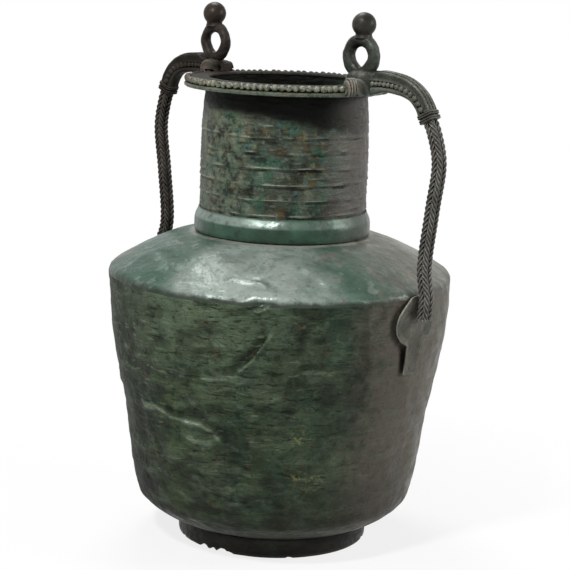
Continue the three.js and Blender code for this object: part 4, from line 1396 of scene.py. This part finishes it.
def ring_bar(h, grow=0.0):
    """A torus in the handle's plane, taller than wide by the eye's difference."""
    only()
    wide = h.eye_w / 2 + h.loop_rod
    tall = h.eye_h / 2 + h.loop_rod
    bpy.ops.mesh.primitive_torus_add(major_radius=wide * MM, minor_radius=(h.loop_rod + grow) * MM,
                                     major_segments=72, minor_segments=28,
                                     rotation=(math.pi / 2, 0, 0))
    bpy.ops.object.transform_apply()
    open_mesh(bpy.context.object)
    bpy.ops.transform.resize(value=(1, 1, (tall + h.loop_rod) / (wide + h.loop_rod)))
    bpy.ops.transform.translate(value=Vector((h.loop_r, 0, loop_middle(h))) * MM)
    return close_mesh()


for h in HANDLES:
    loop = ring_bar(h)
    middle = Vector((h.loop_r, 0, loop_middle(h))) * MM
    for vertex in loop.data.vertices:
        # the eye narrows to a point at its foot
        off = vertex.co - middle
        inside = 1 - smoothstep(math.hypot(off.x, off.z) / MM, h.eye_w / 2, h.eye_w / 2 + 10)
        low = smoothstep(-off.z / MM, -2.0, h.eye_h * 0.6)
        vertex.co.x -= off.x * 0.4 * inside * low
    hammer(loop, 1.3, 8)
    open_mesh(loop)
    bpy.ops.mesh.bisect(plane_co=(0, 0, (RIM_TOP + h.root_h - 4) * MM), plane_no=(0, 0, -1),
                        clear_outer=True, use_fill=True)
    close_mesh()
    settle(swing(loop, h), f"{h.side}_standing_loop", h.loop, "arm", f"{h.side}_loop")

# %% Balls
BALL_R = 10.5

for h in HANDLES:
    top = loop_middle(h) + h.eye_h / 2 + h.loop_rod * 2
    middle = top - 2.8 + BALL_R
    low = top - 4.2
    line = [[0, low], [7.3, low], [7.9, low + 0.5], [7.7, low + 1.4], [7.2, low + 2.6],
            [7.1, low + 3.6]]
    for i in range(25):
        a = math.radians(-44 + 134 * i / 24)
        line.append([BALL_R * math.cos(a) if i < 24 else 0, middle + BALL_R * math.sin(a)])
    ball = spin(line, 48)
    only(ball)
    ball.location.x = (h.loop_r + h.ball_lean) * MM
    bpy.ops.object.transform_apply()
    cut(ball, ring_bar(h, 0.2))
    hammer(ball, 0.3, 8)
    settle(swing(ball, h), f"{h.side}_ball_knob", h.ball, "ball", f"{h.side}_ball", angle=50)

# %% [markdown]
# ## Foot plates
# Below the rods a keyhole of sheet lies on the wall: an oval disc with a tapering tail. It
# is lofted as nested outlines on the wall's curve, its edge lifting here and there, then
# given its thickness and a worn edge.

# %% Foot plates
DISC_WIDE, DISC_TALL = 25.5, 22.5  # half-axes of the oval disc
TAIL_WIDE, TAIL_LOW = 8.25, -45.5  # half-width and height of the tail's end, before its corners


def keyhole():
    """Outline of a plate as [across, height] about the disc's middle, in mm."""
    joint = math.acos(22 / 51)  # where the tail, 22 mm wide there, leaves the disc
    line = []
    for i in range(31):
        a = -joint + (math.pi + 2 * joint) * i / 30
        line.append([DISC_WIDE * math.cos(a), DISC_TALL * math.sin(a)])
    first, last = line[0], line[-1]
    line += [[mix(last[0], -TAIL_WIDE, i / 7), mix(last[1], TAIL_LOW, i / 7)] for i in range(1, 7)]
    line += [[-8.0, -46.4], [-7.2, -47], [-3, -47], [3, -47], [7.2, -47], [8.0, -46.4]]
    line += [[mix(TAIL_WIDE, first[0], i / 7), mix(TAIL_LOW, first[1], i / 7)] for i in range(1, 7)]
    return line


for h in HANDLES:
    turn = h.azimuth + h.plate_turn
    rings = []
    for share in (1.0, 0.97, 0.93, 0.86, 0.76, 0.64, 0.5, 0.36, 0.22, 0.08):
        ring = []
        for i, (across, rise) in enumerate(keyhole()):
            x, z = across * share, (rise + 6) * share - 6
            height = EDGE - 23 + z
            curl = 1.2 + 2.2 * noise.noise(Vector((i * 0.17, h.azimuth, 0)))
            curl = max(curl, 0.2) + smoothstep(-across, 2, 16) * 1.2
            if rise > 0:
                # flat where the rods pass over it
                curl *= smoothstep(abs(across), 5, 13)
            lift = smoothstep(share, 0.6, 1.0) * curl
            r = wall_radius(min(height, 240)) + 0.5 + lift
            a = math.radians(turn) + math.asin(x / r)
            ring.append((math.cos(a) * r, math.sin(a) * r, height))
        rings.append(ring)
    plate = loft(rings)
    # the largest face closes the outline towards the wall
    open_mesh(plate)
    mesh = bmesh.from_edit_mesh(plate.data)
    mesh.faces.remove(max(mesh.faces, key=lambda face: face.calc_perimeter()))
    bmesh.update_edit_mesh(plate.data)
    facing_out(close_mesh())
    modify(plate, "SOLIDIFY", thickness=PLATE_THICK * MM, offset=1)
    modify(plate, "BEVEL", width=0.35 * MM, segments=2, angle_limit=math.radians(50))
    hammer(plate, 0.5, 12)
    settle(plate, f"{h.side}_keyhole_plate", PLATE, "plate", f"{h.side}_foot_plate")

# %% [markdown]
# ## Floor, background and light
# A plain white floor keeps the jar's shadow. The camera, and what reflects or shines
# through, sees a white world, but the world lights the object less than that, so the
# lamps give the modelling: a small bright one at the left front, a broad one high behind,
# and one on the right that draws the edges of the handle and its plate.

# %% Floor and world
def two_sided(owner, kind, seen, gathered, outer=None):
    """One shader for rays that are seen and another for light that is gathered."""
    owner.use_nodes = True
    tree = owner.node_tree
    tree.nodes.clear()
    rays = add(tree, "ShaderNodeLightPath").outputs
    share = rays["Is Camera Ray"]
    for other in (rays["Is Glossy Ray"], rays["Is Transmission Ray"]):
        share = add(tree, "ShaderNodeMath", {0: share, 1: other}, operation="MAXIMUM").outputs[0]
    if outer:
        # close to the jar the paper keeps its shadow, and further out it turns plain white
        spot = add(tree, "ShaderNodeTexCoord").outputs["Object"]
        away = add(tree, "ShaderNodeVectorMath", {0: spot}, operation="LENGTH").outputs["Value"]
        glow = add(tree, "ShaderNodeMapRange", {"Value": away, **outer}).outputs[0]
        share = add(tree, "ShaderNodeMath", {0: share, 1: glow}, operation="MULTIPLY").outputs[0]
    first, second = [add(tree, node, {"Color": colour(text), **more}).outputs[0]
                     for node, text, more in (gathered, seen)]
    both = add(tree, "ShaderNodeMixShader", {0: share, 1: first, 2: second})
    add(tree, kind, {"Surface": both.outputs[0]})


only()
bpy.ops.mesh.primitive_plane_add(size=60, location=(0, 0, 0))
floor = bpy.context.object
floor.name = "floor"
paper = bpy.data.materials.new("white_floor")
two_sided(paper, "ShaderNodeOutputMaterial", ("ShaderNodeEmission", "#ffffff", {"Strength": 1.0}),
          ("ShaderNodeBsdfDiffuse", "#d8d8d6", {}),
          {"From Min": 0.12, "From Max": 0.5, "To Min": 0.82, "To Max": 1.0})
floor.data.materials.append(paper)

scene.world = bpy.data.worlds.new("white_world")
two_sided(scene.world, "ShaderNodeOutputWorld",
          ("ShaderNodeBackground", "#ffffff", {"Strength": 1.0}),
          ("ShaderNodeBackground", "#ffffff", {"Strength": 0.1}))


# %% Lamps
def softbox(name, azimuth, elevation, distance, size, watts):
    """A square lamp that looks at the jar's middle, from degrees and metres."""
    turn, rise = math.radians(azimuth), math.radians(elevation)
    middle = Vector((0, 0, 0.24))
    arm = Vector((math.cos(turn) * math.cos(rise), math.sin(turn) * math.cos(rise), math.sin(rise)))
    bpy.ops.object.light_add(type="AREA", location=middle + arm * distance)
    lamp = bpy.context.object
    lamp.name = name
    lamp.rotation_euler = arm.to_track_quat("Z", "Y").to_euler()
    lamp.data.size = size
    lamp.data.energy = watts


softbox("key_left_front", -80, 46, 1.7, 0.2, 29)
softbox("overhead_back", 145, 62, 1.6, 0.5, 21)
softbox("right_side", 30, 22, 1.6, 0.45, 14)
